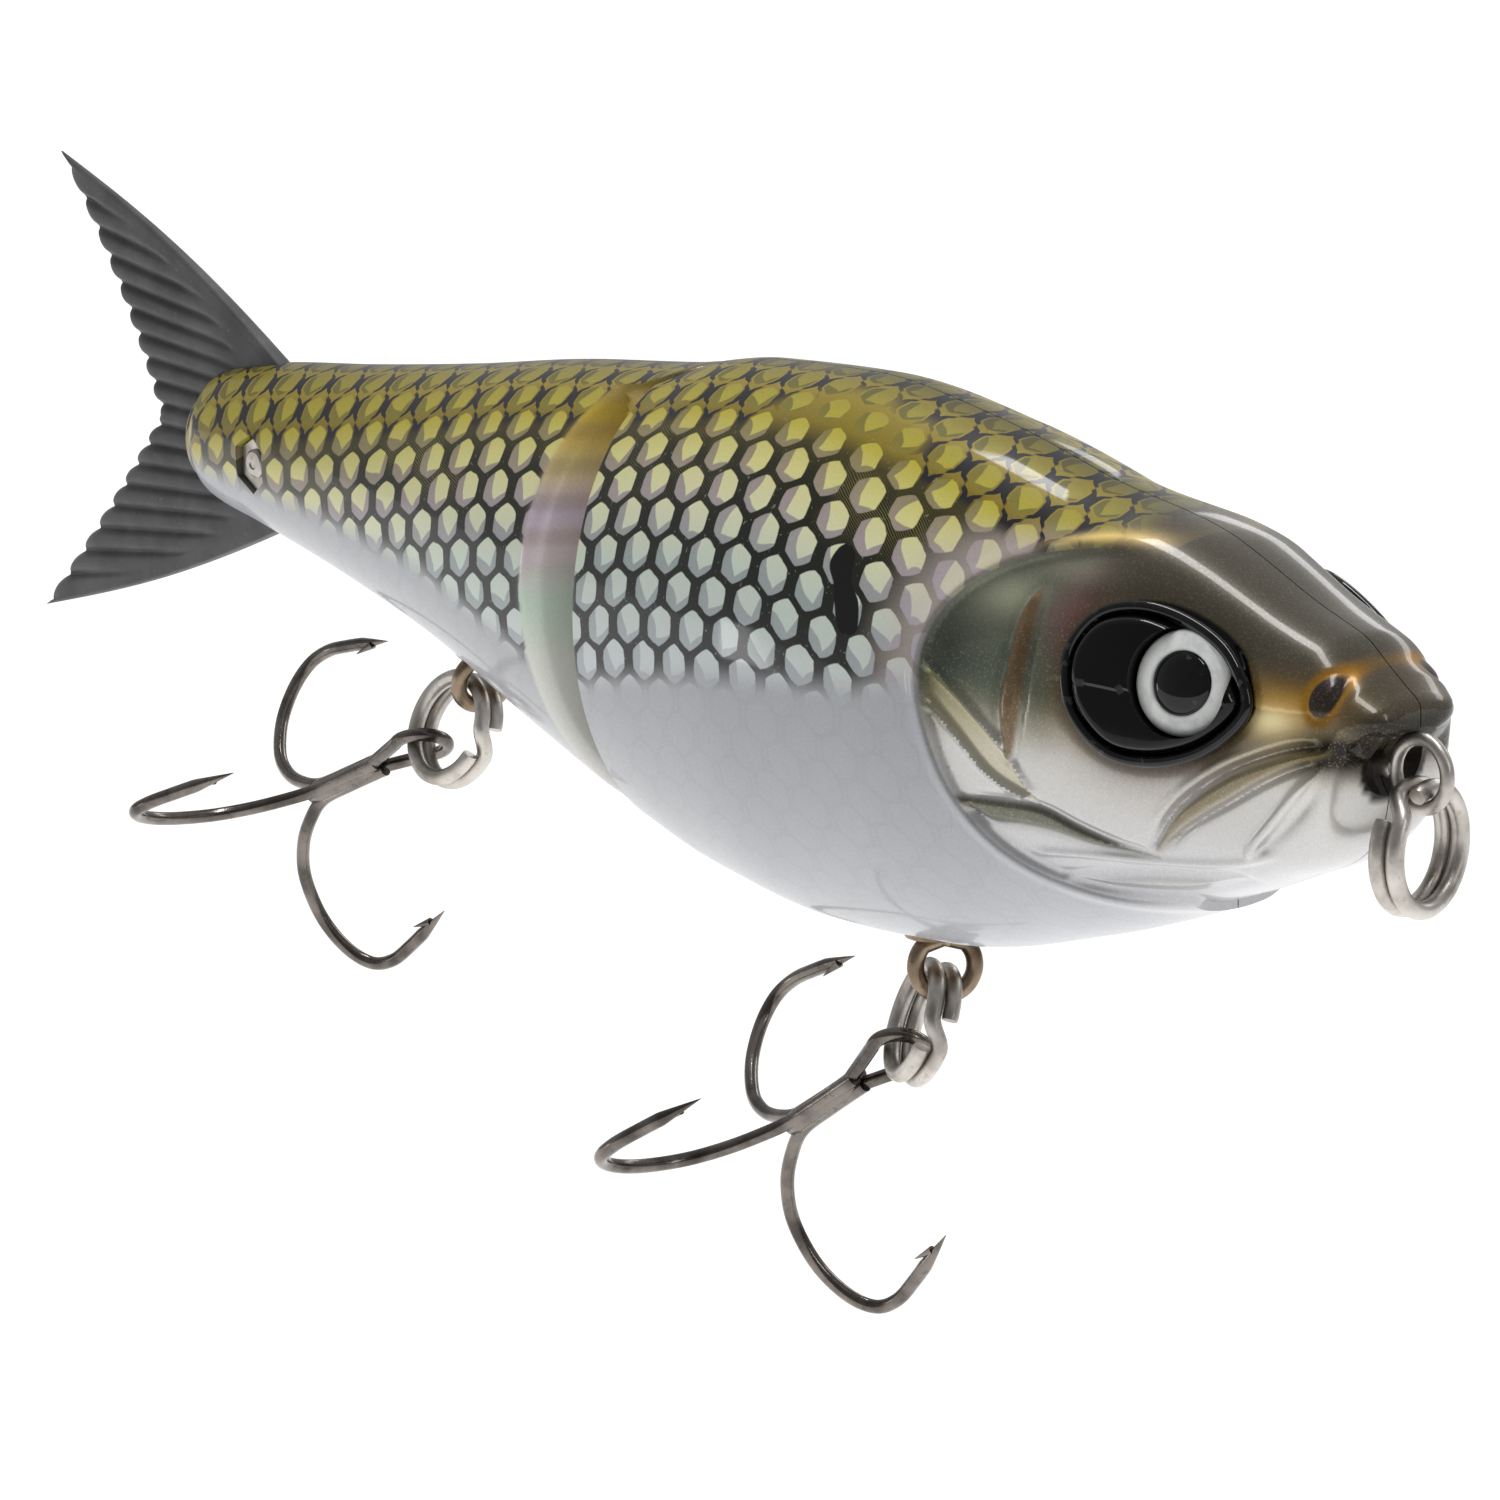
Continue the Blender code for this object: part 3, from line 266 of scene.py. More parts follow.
def relief(back, height):
    """How far the moulded surface stands out of the plain body, in metres."""
    distances = feature_distances(back, height)
    gill = distances["gill_mm"]
    behind = smoothstep(23 * MM, 30 * MM, back)
    out = 0.55 * smoothstep(-0.15, 0.55, gill) * np.exp(-np.clip(gill, 0, None) / 9)
    out = (out - 0.20 * bell(gill, -0.5, 0.55)) * (behind + (height < 0) * (1 - behind))
    for name, rise, low, high in RELIEF_AREAS:
        out += rise * smoothstep(low, high, distances[name])
    for name, rise, middle, half in RELIEF_EDGES:
        out += rise * bell(distances[name], middle, half)
    for curve, rise, half, ends in RELIEF_LINES:
        gap, share = distance_to(spline(curve), back, height)
        fade = smoothstep(0, ends, share) * (1 - smoothstep(1 - ends, 1, share))
        out += rise * bell(gap / MM, 0, half) * fade
    out -= 0.22 * bell(nostril_gap(back, height) / MM, 0, 0.9)
    return out * MM


# ---- meshes --------------------------------------------------------------------------
def linked(name, data):
    obj = bpy.data.objects.new(name, data)
    bpy.context.scene.collection.objects.link(obj)
    return obj


def mesh_of(name, bm):
    mesh = bpy.data.meshes.new(name)
    bm.to_mesh(mesh)
    bm.free()
    return mesh


def smooth(mesh, angle):
    mesh.shade_smooth()
    mesh.set_sharp_from_angle(angle=radians(angle))


def object_from(name, bm, angle=35):
    """Object from a closed bmesh, with its faces outwards and smooth shading."""
    bmesh.ops.remove_doubles(bm, verts=bm.verts, dist=1e-7)
    bmesh.ops.recalc_face_normals(bm, faces=bm.faces)
    if bm.calc_volume(signed=True) < 0:
        bmesh.ops.reverse_faces(bm, faces=bm.faces)
    obj = linked(name, mesh_of(name, bm))
    smooth(obj.data, angle)
    return obj


def axes(origin, z_axis, x_hint):
    """Matrix with its Z along z_axis and its X near x_hint."""
    z = z_axis.normalized()
    x = (x_hint - x_hint.dot(z) * z).normalized()
    matrix = Matrix((x, z.cross(x), z)).transposed().to_4x4()
    matrix.translation = origin
    return matrix


def turned(name, profile, place, sides=64, angle=35):
    """Closed body turned about Z from (radius, height) points in millimetres."""
    profile = [(r * MM, z * MM) for r, z in profile]
    bm = bmesh.new()
    rings = []
    for k in range(sides):
        a = 2 * pi * k / sides
        rings.append([bm.verts.new((r * cos(a), r * sin(a), z)) for r, z in profile])
    for k in range(sides):
        here, there = rings[k], rings[(k + 1) % sides]
        for i in range(len(profile)):
            j = (i + 1) % len(profile)
            if profile[i][0] > 0 or profile[j][0] > 0:
                bm.faces.new((here[i], here[j], there[j], there[i]))
    bm.transform(place)
    return object_from(name, bm, angle)


def cylinder(name, place, radius, low, high, sides=96):
    return turned(name, ((0, low), (radius, low), (radius, high), (0, high)), place, sides)


def prism(name, low, high, angle=35):
    """Closed solid between two matching outlines."""
    bm = bmesh.new()
    low, high = ([bm.verts.new(point) for point in ring] for ring in (low, high))
    bm.faces.new(low)
    bm.faces.new(high)
    for k in range(len(low)):
        j = (k + 1) % len(low)
        bm.faces.new((low[k], low[j], high[j], high[k]))
    return object_from(name, bm, angle)


def wire(name, points, radius, closed=False, tip=None, sides=5):
    """Round wire along points; tip gives each point's share of the radius."""
    curve = bpy.data.curves.new(name, "CURVE")
    curve.dimensions = "3D"
    curve.bevel_depth = radius
    curve.bevel_resolution = sides
    curve.use_fill_caps = True
    line = curve.splines.new("POLY")
    line.points.add(len(points) - 1)
    for i, point in enumerate(points):
        line.points[i].co = (*point, 1)
        line.points[i].radius = tip[i] if tip else 1.0
    line.use_cyclic_u = closed
    holder = linked(name, curve)
    graph = bpy.context.evaluated_depsgraph_get()
    bm = bmesh.new()
    bm.from_mesh(holder.evaluated_get(graph).to_mesh())
    bpy.data.objects.remove(holder)
    return object_from(name, bm)


def merged(name, pieces):
    """One object from several."""
    bm = bmesh.new()
    for piece in pieces:
        bm.from_mesh(piece.data)
        bpy.data.objects.remove(piece)
    return linked(name, mesh_of(name, bm))


def carved(obj, cutters):
    """Cut every cutter out of the object."""
    for cutter in cutters:
        modifier = obj.modifiers.new("cut", "BOOLEAN")
        modifier.operation = "DIFFERENCE"
        modifier.solver = "EXACT"
        modifier.object = cutter
    graph = bpy.context.evaluated_depsgraph_get()
    mesh = bpy.data.meshes.new_from_object(obj.evaluated_get(graph))
    for cutter in cutters:
        bpy.data.objects.remove(cutter)
    obj.modifiers.clear()
    obj.data = mesh
    bm = bmesh.new()
    bm.from_mesh(mesh)
    bmesh.ops.dissolve_degenerate(bm, edges=bm.edges, dist=1e-7)
    bm.to_mesh(mesh)
    bm.free()
    smooth(mesh, 38)
    return obj


def half_solid(name, rows):
    """Closed half body from rows of points; the first and last rows are one point each."""
    width = rows.shape[1]
    bm = bmesh.new()
    made = [bm.verts.new(rows[0, 0])]
    grid = [[made[0]] * width]
    for row in rows[1:-1]:
        grid.append([bm.verts.new(point) for point in row])
    grid.append([bm.verts.new(rows[-1, 0])] * width)
    for here, there in zip(grid, grid[1:]):
        for k in range(width - 1):
            corners = dict.fromkeys((here[k], here[k + 1], there[k + 1], there[k]))
            bm.faces.new(tuple(corners))
    bm.faces.new([row[0] for row in grid] + [row[-1] for row in grid[-2:0:-1]])
    return object_from(name, bm, 38)


# ---- skins of the two bodies ---------------------------------------------------------
SEAM = 0.05 * MM                # half the gap between the two shell halves
HEAD_BACK = 46 * MM             # the fine mesh of the head ends here
FRONT_RING_POINTS, HEAD_RINGS, FRONT_RINGS = 271, 250, 60
REAR_RING_POINTS, REAR_RINGS = 141, 150
HEAD_FULLNESS = 0.22            # 0 leaves the head's section an ellipse, more squares it
CROWN_LIFT = 1.4 * MM           # how much higher the top of the head is than the plain body
NOSE_BLUNT = 1.7 * MM


def ring_points(side, back, angles):
    """Points of the plain body at arrays of back distances and ring angles."""
    width, top, bottom = section(back)
    crown = smoothstep(2 * MM, 8 * MM, back) * smoothstep(36 * MM, 20 * MM, back)
    jaw = smoothstep(3 * MM, 6 * MM, back) * smoothstep(24 * MM, 10 * MM, back)
    above, below = smoothstep(0, 0.6, np.sin(angles)), smoothstep(0, 0.6, -np.sin(angles))
    power = 1 - HEAD_FULLNESS * (crown * above + 1.3 * jaw * below)
    y = np.maximum(SEAM, SEAM + (width - SEAM) * np.clip(np.cos(angles), 0, 1) ** power)
    rise = np.sign(np.sin(angles)) * np.abs(np.sin(angles)) ** power
    height = (top + bottom) / 2 + (top - bottom) / 2 * rise
    height = height + CROWN_LIFT * crown * smoothstep(0.1, 0.9, rise)
    x = NOSE.x - np.hypot(back, NOSE_BLUNT * smoothstep(9 * MM, 2 * MM, back))
    return np.stack([x, side * y, NOSE.z + height], axis=-1)


def closing_rows(row, centre, radius, side, start_x, count=10):
    """Rows that round the edge of an end face, from start_x back, and run in to its centre."""
    across = row - centre
    length = np.linalg.norm(across[:, 1:], axis=1, keepdims=True)
    rows = []
    for share in np.linspace(0, 1, 7)[1:]:
        a = share * pi / 2
        pulled = centre[1:] + across[:, 1:] * (1 - radius * (1 - cos(a)) / length)
        rows.append((pulled, radius * sin(a)))
    flat = [rows[-1][0] * (1 - t) + centre[1:] * t for t in np.linspace(0, 1, count)[1:]]
    rows += [(points, radius) for points in flat]
    made = []
    for points, depth in rows:
        y = side * np.maximum(SEAM, side * points[:, 0])
        made.append(np.stack([np.full(y.shape, start_x - depth), y, points[:, 1]], axis=-1))
    return made


def front_skin(side, name):
    angles = np.linspace(-pi / 2, pi / 2, FRONT_RING_POINTS)
    rim_back = NOSE.x - RIM_X
    fillet = 0.8 * MM
    head = np.linspace(sqrt(0.05 * MM), sqrt(HEAD_BACK), HEAD_RINGS) ** 2
    rest = np.linspace(HEAD_BACK, rim_back - fillet, FRONT_RINGS)[1:]
    back, angle = np.meshgrid(np.concatenate([head, rest]), angles, indexing="ij")
    points = ring_points(side, back, angle)
    normal = np.cross(np.gradient(points, axis=0), np.gradient(points, axis=1)) * -side
    normal /= np.maximum(np.linalg.norm(normal, axis=2, keepdims=True), 1e-12)
    height = points[..., 2] - NOSE.z
    low = smoothstep(-0.4 * MM, -1.6 * MM, height)
    lift = relief(back, height) * (smoothstep(0.8 * MM, 3 * MM, back) * (1 - low)
                                   + smoothstep(4.6 * MM, 6.6 * MM, back) * low)
    lift *= 1 - smoothstep(42 * MM, 45 * MM, back)
    points = points + normal * lift[..., None]
    points[..., 1] = side * np.maximum(SEAM, side * points[..., 1])
    points[:, (0, -1), 1] = side * SEAM
    tip = np.array([[points[0, 0, 0] + 0.02 * MM, side * SEAM, NOSE.z - 0.9 * MM]]
                   * len(angles))
    centre = np.array([RIM_X, side * SEAM, NOSE.z - 4.5 * MM])
    end = closing_rows(points[-1], centre, fillet, side, RIM_X + fillet)
    rows = np.array([tip, *points, *end])
    rows[-1] = rows[-1].mean(axis=0)
    return half_solid(name, rows)


def rear_start(y):
    """X of the rear body's front face at a distance from the centre plane."""
    lean = tan(radians(HINGE_SWING))
    corner_y = float(section(NOSE.x - CORNER_X)[0])
    offset = CORNER_X - HINGE_X + corner_y * lean
    y = np.abs(y)
    foot = cos(radians(HINGE_SWING)) * offset
    meet = KNUCKLE_RADIUS * sin(acos(foot / KNUCKLE_RADIUS) + radians(HINGE_SWING))
    round_nose = np.sqrt(np.maximum(0, KNUCKLE_RADIUS**2 - y * y))
    return HINGE_X + np.where(y < meet, round_nose, offset - y * lean)


def rear_skin(side, name):
    angles = np.linspace(-pi / 2, pi / 2, REAR_RING_POINTS)
    start = np.full(angles.shape, NOSE.x - HINGE_X)
    for _ in range(30):
        start = NOSE.x - rear_start(ring_points(side, start, angles)[:, 1])
    end = BODY_LENGTH - 0.4 * MM
    fillet, tail_fillet = 1.3 * MM, 1.2 * MM
    shares = (1 - (1 - np.linspace(0, 1, REAR_RINGS)) ** 1.25)[:, None]
    back = start + fillet + (end - tail_fillet - start - fillet) * shares
    points = ring_points(side, back, np.broadcast_to(angles, back.shape))
    points[:, (0, -1), 1] = side * SEAM
    corner = ring_points(side, start, angles)
    centre = np.array([HINGE_X + KNUCKLE_RADIUS, side * SEAM, NOSE.z - 3.0 * MM])
    across = corner - centre
    length = np.linalg.norm(across[:, 1:], axis=1, keepdims=True)

    def on_face(pulled):
        y = side * np.maximum(SEAM, side * pulled[:, 0])
        return np.stack([rear_start(y), y, pulled[:, 1]], axis=-1)

    inner = on_face(centre[1:] + across[:, 1:] * (1 - fillet / length))
    nose_rows = [on_face(centre[1:] * (1 - t) + inner[:, 1:] * t)
                 for t in np.linspace(0, 1, 28)]
    nose_rows += [(1 - t) ** 2 * inner + 2 * t * (1 - t) * corner + t * t * points[0]
                  for t in np.linspace(0, 1, 10)[1:-1]]
    nose_rows[0][:] = (centre[0], side * SEAM, centre[2])
    tail_centre = np.array([TAIL_END_X, side * SEAM, NOSE.z])
    tail = closing_rows(points[-1], tail_centre, tail_fillet, side,
                        NOSE.x - end + tail_fillet, 6)
    rows = np.array([*nose_rows, *points, *tail])
    rows[:, (0, -1), 1] = side * SEAM
    rows[-1] = rows[-1].mean(axis=0)
    return half_solid(name, rows)


def ellipsoid(name, centre, semi, segments=64):
    bm = bmesh.new()
    bmesh.ops.create_uvsphere(bm, u_segments=segments, v_segments=segments // 2, radius=1)
    bm.transform(Matrix.Translation(centre) @ Matrix.Diagonal((*semi, 1)))
    return object_from(name, bm)


def belly_point(back):
    """Point on the belly line and the outward normal there."""
    bottoms = [float(section(back + step * MM)[2]) for step in (-1, 0, 1)]
    rise = (bottoms[2] - bottoms[0]) / (2 * MM)
    return Vector((NOSE.x - back, 0, NOSE.z + bottoms[1])), Vector((-rise, 0, -1)).normalized()


def hanger_place(back):
    """Frame at the belly line, with Z pointing out of the body."""
    point, outward = belly_point(back)
    return axes(point, -outward, Vector((1, 0, 0))) @ Matrix.Rotation(pi, 4, "X")


BELLY_PLACE = hanger_place(0.345 * BODY_LENGTH)
REAR_PLACE = hanger_place(0.730 * BODY_LENGTH)
SCREW_BACK = 0.904 * BODY_LENGTH
SCREW_Z = NOSE.z + 0.3 * MM
NUT_ACROSS = 4.3 * MM
NUT_THICKNESS = 1.6 * MM
NUT_INSET = 1.0 * MM            # flank to the nut's outer face
NUT_ROOM = 0.5 * MM             # more across the flats than the nut
SCREW_HEAD_SEAT = 1.7           # depth of the head's pocket, in millimetres
HINGE_EYE_HEIGHTS = (11.0 * MM, -14.0 * MM)


FLANGE_RADIUS = 3.2             # in millimetres, as turned() takes them
BARREL_RADIUS = 2.5
SEAT_GAP = 0.3


def pocket(name, place):
    """Round seat of a swivel's flange."""
    low, step = -7.3, -0.9
    barrel, flange = BARREL_RADIUS + SEAT_GAP, FLANGE_RADIUS + SEAT_GAP
    return turned(name, ((0, low), (barrel, low), (barrel, step), (flange, step), (flange, 3),
                         (0, 3)), place)


def eye_place(side):
    width, top, bottom = (float(v) for v in section(EYE_BACK))
    rise = (EYE_LIFT - (top + bottom) / 2) / ((top - bottom) / 2)
    yaw, pitch = radians(EYE_YAW), radians(EYE_PITCH)
    normal = Vector((sin(yaw) * cos(pitch), side * cos(yaw) * cos(pitch), sin(pitch)))
    centre = Vector((NOSE.x - EYE_BACK, side * width * sqrt(1 - rise * rise),
                     NOSE.z + EYE_LIFT))
    return axes(centre, normal, Vector((0, 0, 1)))


def hinge_slots():
    """Cuts in the rear body's nose for the two hinge eyes."""
    half, reach, depth = 1.1 * MM, 3.35 * MM, 8 * MM
    outline = [(HINGE_X + depth, reach), (HINGE_X + depth, -reach)]
    outline += [(HINGE_X - reach * sin(a), -reach * cos(a)) for a in steps(0, pi, 33)]
    cutters = []
    for height in HINGE_EYE_HEIGHTS:
        z = NOSE.z + height
        cutters.append(prism("slot", [(x, y, z - half) for x, y in outline],
                             [(x, y, z + half) for x, y in outline]))
    return cutters


# ---- tail fin ------------------------------------------------------------------------
TAIL_LENGTH = 27.6 * MM
TAIL_SPAN = 44.0 * MM
TAIL_THICKNESS = 2.6 * MM
FIN_ROOT_X = NOSE.x - SCREW_BACK + 3.2 * MM
RIB_PITCH = 2.15 * MM
RIB_CENTRE = 1.3 * MM           # height above the nose tip that the ribs spread from
RIB_FOCUS = 107 * MM            # how far ahead of the fin they would meet


def rib_phase(x, z):
    """Count of ribs from the fin's middle line, as a smooth number."""
    spread = 1 + (TAIL_END_X - 15 * MM - x) / RIB_FOCUS
    return (z - NOSE.z - RIB_CENTRE) / spread / RIB_PITCH


def tail_points(t, v, scalloped=True):
    """Points of the fin's plane: t from root to trailing edge, v from bottom to top."""
    root_z = NOSE.z + v * 4.6 * MM + 0.4 * MM
    fork = (TAIL_END_X - 0.26 * TAIL_LENGTH, NOSE.z + 0.03 * TAIL_SPAN)
    tip_x = np.where(v > 0, TAIL_END_X - 0.83 * TAIL_LENGTH, TAIL_END_X - TAIL_LENGTH)
    tip_z = np.where(v > 0, NOSE.z + 0.552 * TAIL_SPAN, NOSE.z - 0.448 * TAIL_SPAN)
    share = np.abs(v)
    edge_x = fork[0] + (tip_x - fork[0]) * share
    edge_z = fork[1] + (tip_z - fork[1]) * share
    edge_x = edge_x + 1.2 * MM * np.sin(pi * share) * np.where(v > 0, 1, 0.4)
    if scalloped:
        bump = np.abs(np.cos(pi * rib_phase(edge_x, edge_z))) ** 0.7
        edge_x = edge_x - 0.8 * MM * (bump - 0.6)
    x = FIN_ROOT_X + (edge_x - FIN_ROOT_X) * t
    z = root_z + (edge_z - root_z) * t
    return x, z + np.where(v > 0, 1.6, 1.2) * MM * v * np.sin(pi * t)


def tail_sheet(name, grow=0.0):
    """Forked plate with ribs that spread towards a scalloped trailing edge."""
    columns, rows = (12, 24) if grow else (70, 300)
    t, v = np.meshgrid(np.linspace(0, 1, columns + 1), np.linspace(-1, 1, rows + 1),
                       indexing="ij")
    x, z = tail_points(t, v, scalloped=not grow)
    half = TAIL_THICKNESS / 2 * (1 - 0.55 * t) * (1 - 0.45 * np.abs(v) ** 6) + grow
    if grow:
        z = z + grow * v * 1.5
        x = x + np.where(t == 0, grow * 1.5, 0)
    else:
        phase = rib_phase(x, z)
        saw = phase - np.floor(phase)
        groove = np.exp(-((saw - 0.5) / 0.16) ** 2) + 0.35 * (0.5 - np.abs(saw - 0.5))
        width = TAIL_SPAN * t * (1 - np.abs(v)) * 0.5
        clear = smoothstep(1.2 * MM, 3.6 * MM, width) * smoothstep(0.30, 0.52, t)
        half = half - 0.52 * MM * groove * clear * (0.6 + 0.4 * t)
        edge = np.clip(np.minimum((1 - t) * 3, (1 - np.abs(v)) * 5), 0, 0.16) / 0.16
        half = half * (0.30 + 0.70 * np.sqrt(edge * (2 - edge)))
    bm = bmesh.new()
    near, far = ([[bm.verts.new((x[i, j], side * half[i, j], z[i, j]))
                   for j in range(rows + 1)] for i in range(columns + 1)] for side in (-1, 1))
    for i in range(columns):
        for j in range(rows):
            for s in (near, far):
                bm.faces.new((s[i][j], s[i + 1][j], s[i + 1][j + 1], s[i][j + 1]))
        for j in (0, rows):
            bm.faces.new((near[i][j], near[i + 1][j], far[i + 1][j], far[i][j]))
    for j in range(rows):
        for i in (0, columns):
            bm.faces.new((near[i][j], near[i][j + 1], far[i][j + 1], far[i][j]))
    return object_from(name, bm, 50)


# ---- shader nodes --------------------------------------------------------------------
class Value:
    """A number in a material's node tree; arithmetic on it adds math nodes."""

    def __init__(self, tree, socket):
        self.tree = tree
        self.socket = socket

    def math(self, operation, *values):
        node = self.tree.nodes.new("ShaderNodeMath")
        node.operation = operation
        for i, value in enumerate(values):
            if isinstance(value, Value):
                self.tree.links.new(value.socket, node.inputs[i])
            else:
                node.inputs[i].default_value = value
        return Value(self.tree, node.outputs[0])

    def __add__(self, other):
        return self.math("ADD", self, other)

    def __sub__(self, other):
        return self.math("SUBTRACT", self, other)

    def __rsub__(self, other):
        return self.math("SUBTRACT", other, self)

    def __mul__(self, other):
        return self.math("MULTIPLY", self, other)

    def wrap(self, period):
        return self.math("FLOORED_MODULO", self, period)

    def rise(self, low, high, to_low=0.0, to_high=1.0):
        """Smooth step from low to high."""
        node = self.tree.nodes.new("ShaderNodeMapRange")
        node.interpolation_type = "SMOOTHSTEP"
        self.tree.links.new(self.socket, node.inputs["Value"])
        for key, value in (("From Min", low), ("From Max", high),
                           ("To Min", to_low), ("To Max", to_high)):
            node.inputs[key].default_value = value
        return Value(self.tree, node.outputs["Result"])


class Surface:
    """A material under construction: its node tree, shader and shorthand for nodes."""

    def __init__(self, name, **settings):
        self.material = bpy.data.materials.new(name)
        self.material.use_nodes = True
        self.tree = self.material.node_tree
        self.shader = self.tree.nodes["Principled BSDF"]
        for key, value in settings.items():
            self.shader.inputs[key.replace("_", " ")].default_value = value

    def attribute(self, name):
        node = self.tree.nodes.new("ShaderNodeAttribute")
        node.attribute_name = name
        return node.outputs

    def number(self, name):
        return Value(self.tree, self.attribute(name)["Fac"])

    def tint(self, name):
        return self.attribute(name)["Color"]

    def place(self):
        return self.tree.nodes.new("ShaderNodeTexCoord").outputs["Object"]

    def noise(self, scale, detail=3.0, roughness=0.55):
        node = self.tree.nodes.new("ShaderNodeTexNoise")
        node.inputs["Scale"].default_value = scale
        node.inputs["Detail"].default_value = detail
        node.inputs["Roughness"].default_value = roughness
        self.tree.links.new(self.place(), node.inputs["Vector"])
        return Value(self.tree, node.outputs["Fac"])

    def cells(self, scale):
        """Random number for each grain of a fine flake."""
        node = self.tree.nodes.new("ShaderNodeTexVoronoi")
        node.inputs["Scale"].default_value = scale
        self.tree.links.new(self.place(), node.inputs["Vector"])
        split = self.tree.nodes.new("ShaderNodeSeparateColor")
        self.tree.links.new(node.outputs["Color"], split.inputs["Color"])
        return Value(self.tree, split.outputs[0])

    def mix(self, share, a, b, blend="MIX"):
        """Colour between a and b, which are sockets or linear colours."""
        node = self.tree.nodes.new("ShaderNodeMix")
        node.data_type = "RGBA"
        node.blend_type = blend
        self.set(node.inputs[0], share)
        self.set(node.inputs[6], a)
        self.set(node.inputs[7], b)
        return node.outputs[2]

    def set(self, target, value):
        if isinstance(value, Value):
            self.tree.links.new(value.socket, target)
        elif isinstance(value, bpy.types.NodeSocket):
            self.tree.links.new(value, target)
        elif isinstance(value, (int, float)):
            target.default_value = value
        else:
            target.default_value = (*value, 1) if len(value) == 3 else value

    def bump(self, height, strength, distance):
        node = self.tree.nodes.new("ShaderNodeBump")
        node.inputs["Strength"].default_value = strength
        node.inputs["Distance"].default_value = distance
        self.tree.links.new(height.socket, node.inputs["Height"])
        self.tree.links.new(node.outputs["Normal"], self.shader.inputs["Normal"])

    def wear(self, key, value):
        self.set(self.shader.inputs[key], value)


def tone(*rgb):
    """Linear colour of a 0 to 255 display colour."""
    return tuple(c / 255 / 12.92 if c <= 10 else ((c / 255 + 0.055) / 1.055) ** 2.4
                 for c in rgb)


# ---- painted shells ------------------------------------------------------------------
SCALE_PITCH = 4.45              # along the body, in millimetres
ROW_PITCH = 2.92                # round the body
FIRST_SCALE = (57.2, 9.9)       # back from the nose, and round from the back ridge
SCALE_HALF = (1.60, 1.64)
FADE_LINE = ((20, -2.0), (40, -1.5), (47, -3.4), (65, -5.2), (87, -9.8), (109, -3.9),
             (131, -2.0), (155, -1.0))

SCALE_COLOURS = ((0, (92, 85, 30)), (5, (158, 146, 46)), (9, (186, 174, 64)),
                 (13, (216, 211, 142)), (17, (222, 222, 184)), (22, (204, 216, 204)),
                 (30, (202, 209, 210)))
FACET_COLOURS = ((0, (58, 52, 24)), (8, (118, 110, 44)), (12, (138, 124, 108)),
                 (16, (156, 140, 152)), (22, (148, 158, 160)), (30, (168, 174, 178)))
NET_COLOURS = ((0, (96, 88, 26)), (4, (156, 138, 40)), (8.5, (136, 118, 32)),
               (10.5, (66, 60, 20)), (13, (34, 34, 14)), (19, (20, 25, 15)),
               (26, (24, 28, 24)))


def ramp(stops, x):
    """Display colours along stops, as linear colours for an array of numbers."""
    places = [stop[0] for stop in stops]
    colours = np.array([tone(*stop[1]) for stop in stops])
    return np.stack([np.interp(x, places, colours[:, i]) for i in range(3)], axis=-1)


def over(base, colour, share):
    """Lay a colour over an array of colours by a share at each place."""
    return base + (np.asarray(colour) - base) * np.clip(share, 0, 1)[:, None]


def store(mesh, name, values):
    if values.ndim == 1:
        layer = mesh.attributes.new(name, "FLOAT", "POINT")
        layer.data.foreach_set("value", values.astype(np.float32))
    else:
        layer = mesh.attributes.new(name, "FLOAT_COLOR", "POINT")
        full = np.concatenate([values, np.ones((len(values), 1))], axis=1)
        layer.data.foreach_set("color", full.astype(np.float32).ravel())


def body_places(mesh):
    """Back, height, distance from the centre plane and from the ridge, in millimetres."""
    points = np.zeros(len(mesh.vertices) * 3, np.float32)
    mesh.vertices.foreach_get("co", points)
    points = points.reshape(-1, 3).astype(float)
    back = NOSE.x - points[:, 0]
    height = points[:, 2] - NOSE.z
    width, top, bottom = section(back)
    half = (top - bottom) / 2
    angle = np.arctan2((height - (top + bottom) / 2) / half,
                       np.abs(points[:, 1]) / np.maximum(width, 1e-6))
    steps = np.linspace(0, 1, 25)[:, None]
    sweep = angle + (pi / 2 - angle) * steps
    speed = np.hypot(width * np.sin(sweep), half * np.cos(sweep))
    arc = (speed[1:] + speed[:-1]).sum(axis=0) / 2 * (pi / 2 - angle) / 24
    return [values / MM for values in (back, height, np.abs(points[:, 1]), arc)]


def base_paint(mesh):
    """Attributes that every shell has: the scale pattern's place and colours."""
    back, height, out, arc = body_places(mesh)
    line = np.interp(back, [p[0] for p in FADE_LINE], [p[1] for p in FADE_LINE])
    fade = smoothstep(-1.6, 1.4, height - line)
    store(mesh, "back_mm", back)
    store(mesh, "round_mm", arc)
    store(mesh, "contrast", fade)
    return back, height, out, arc


def shell_colours(mesh, scale, facet, net, paint, cover, metal, gloss):
    for name, values in (("scale_tint", scale), ("facet_tint", facet), ("net_tint", net),
                         ("paint_tint", paint), ("paint_cover", cover), ("metal", metal),
                         ("gloss", gloss)):
        store(mesh, name, values)


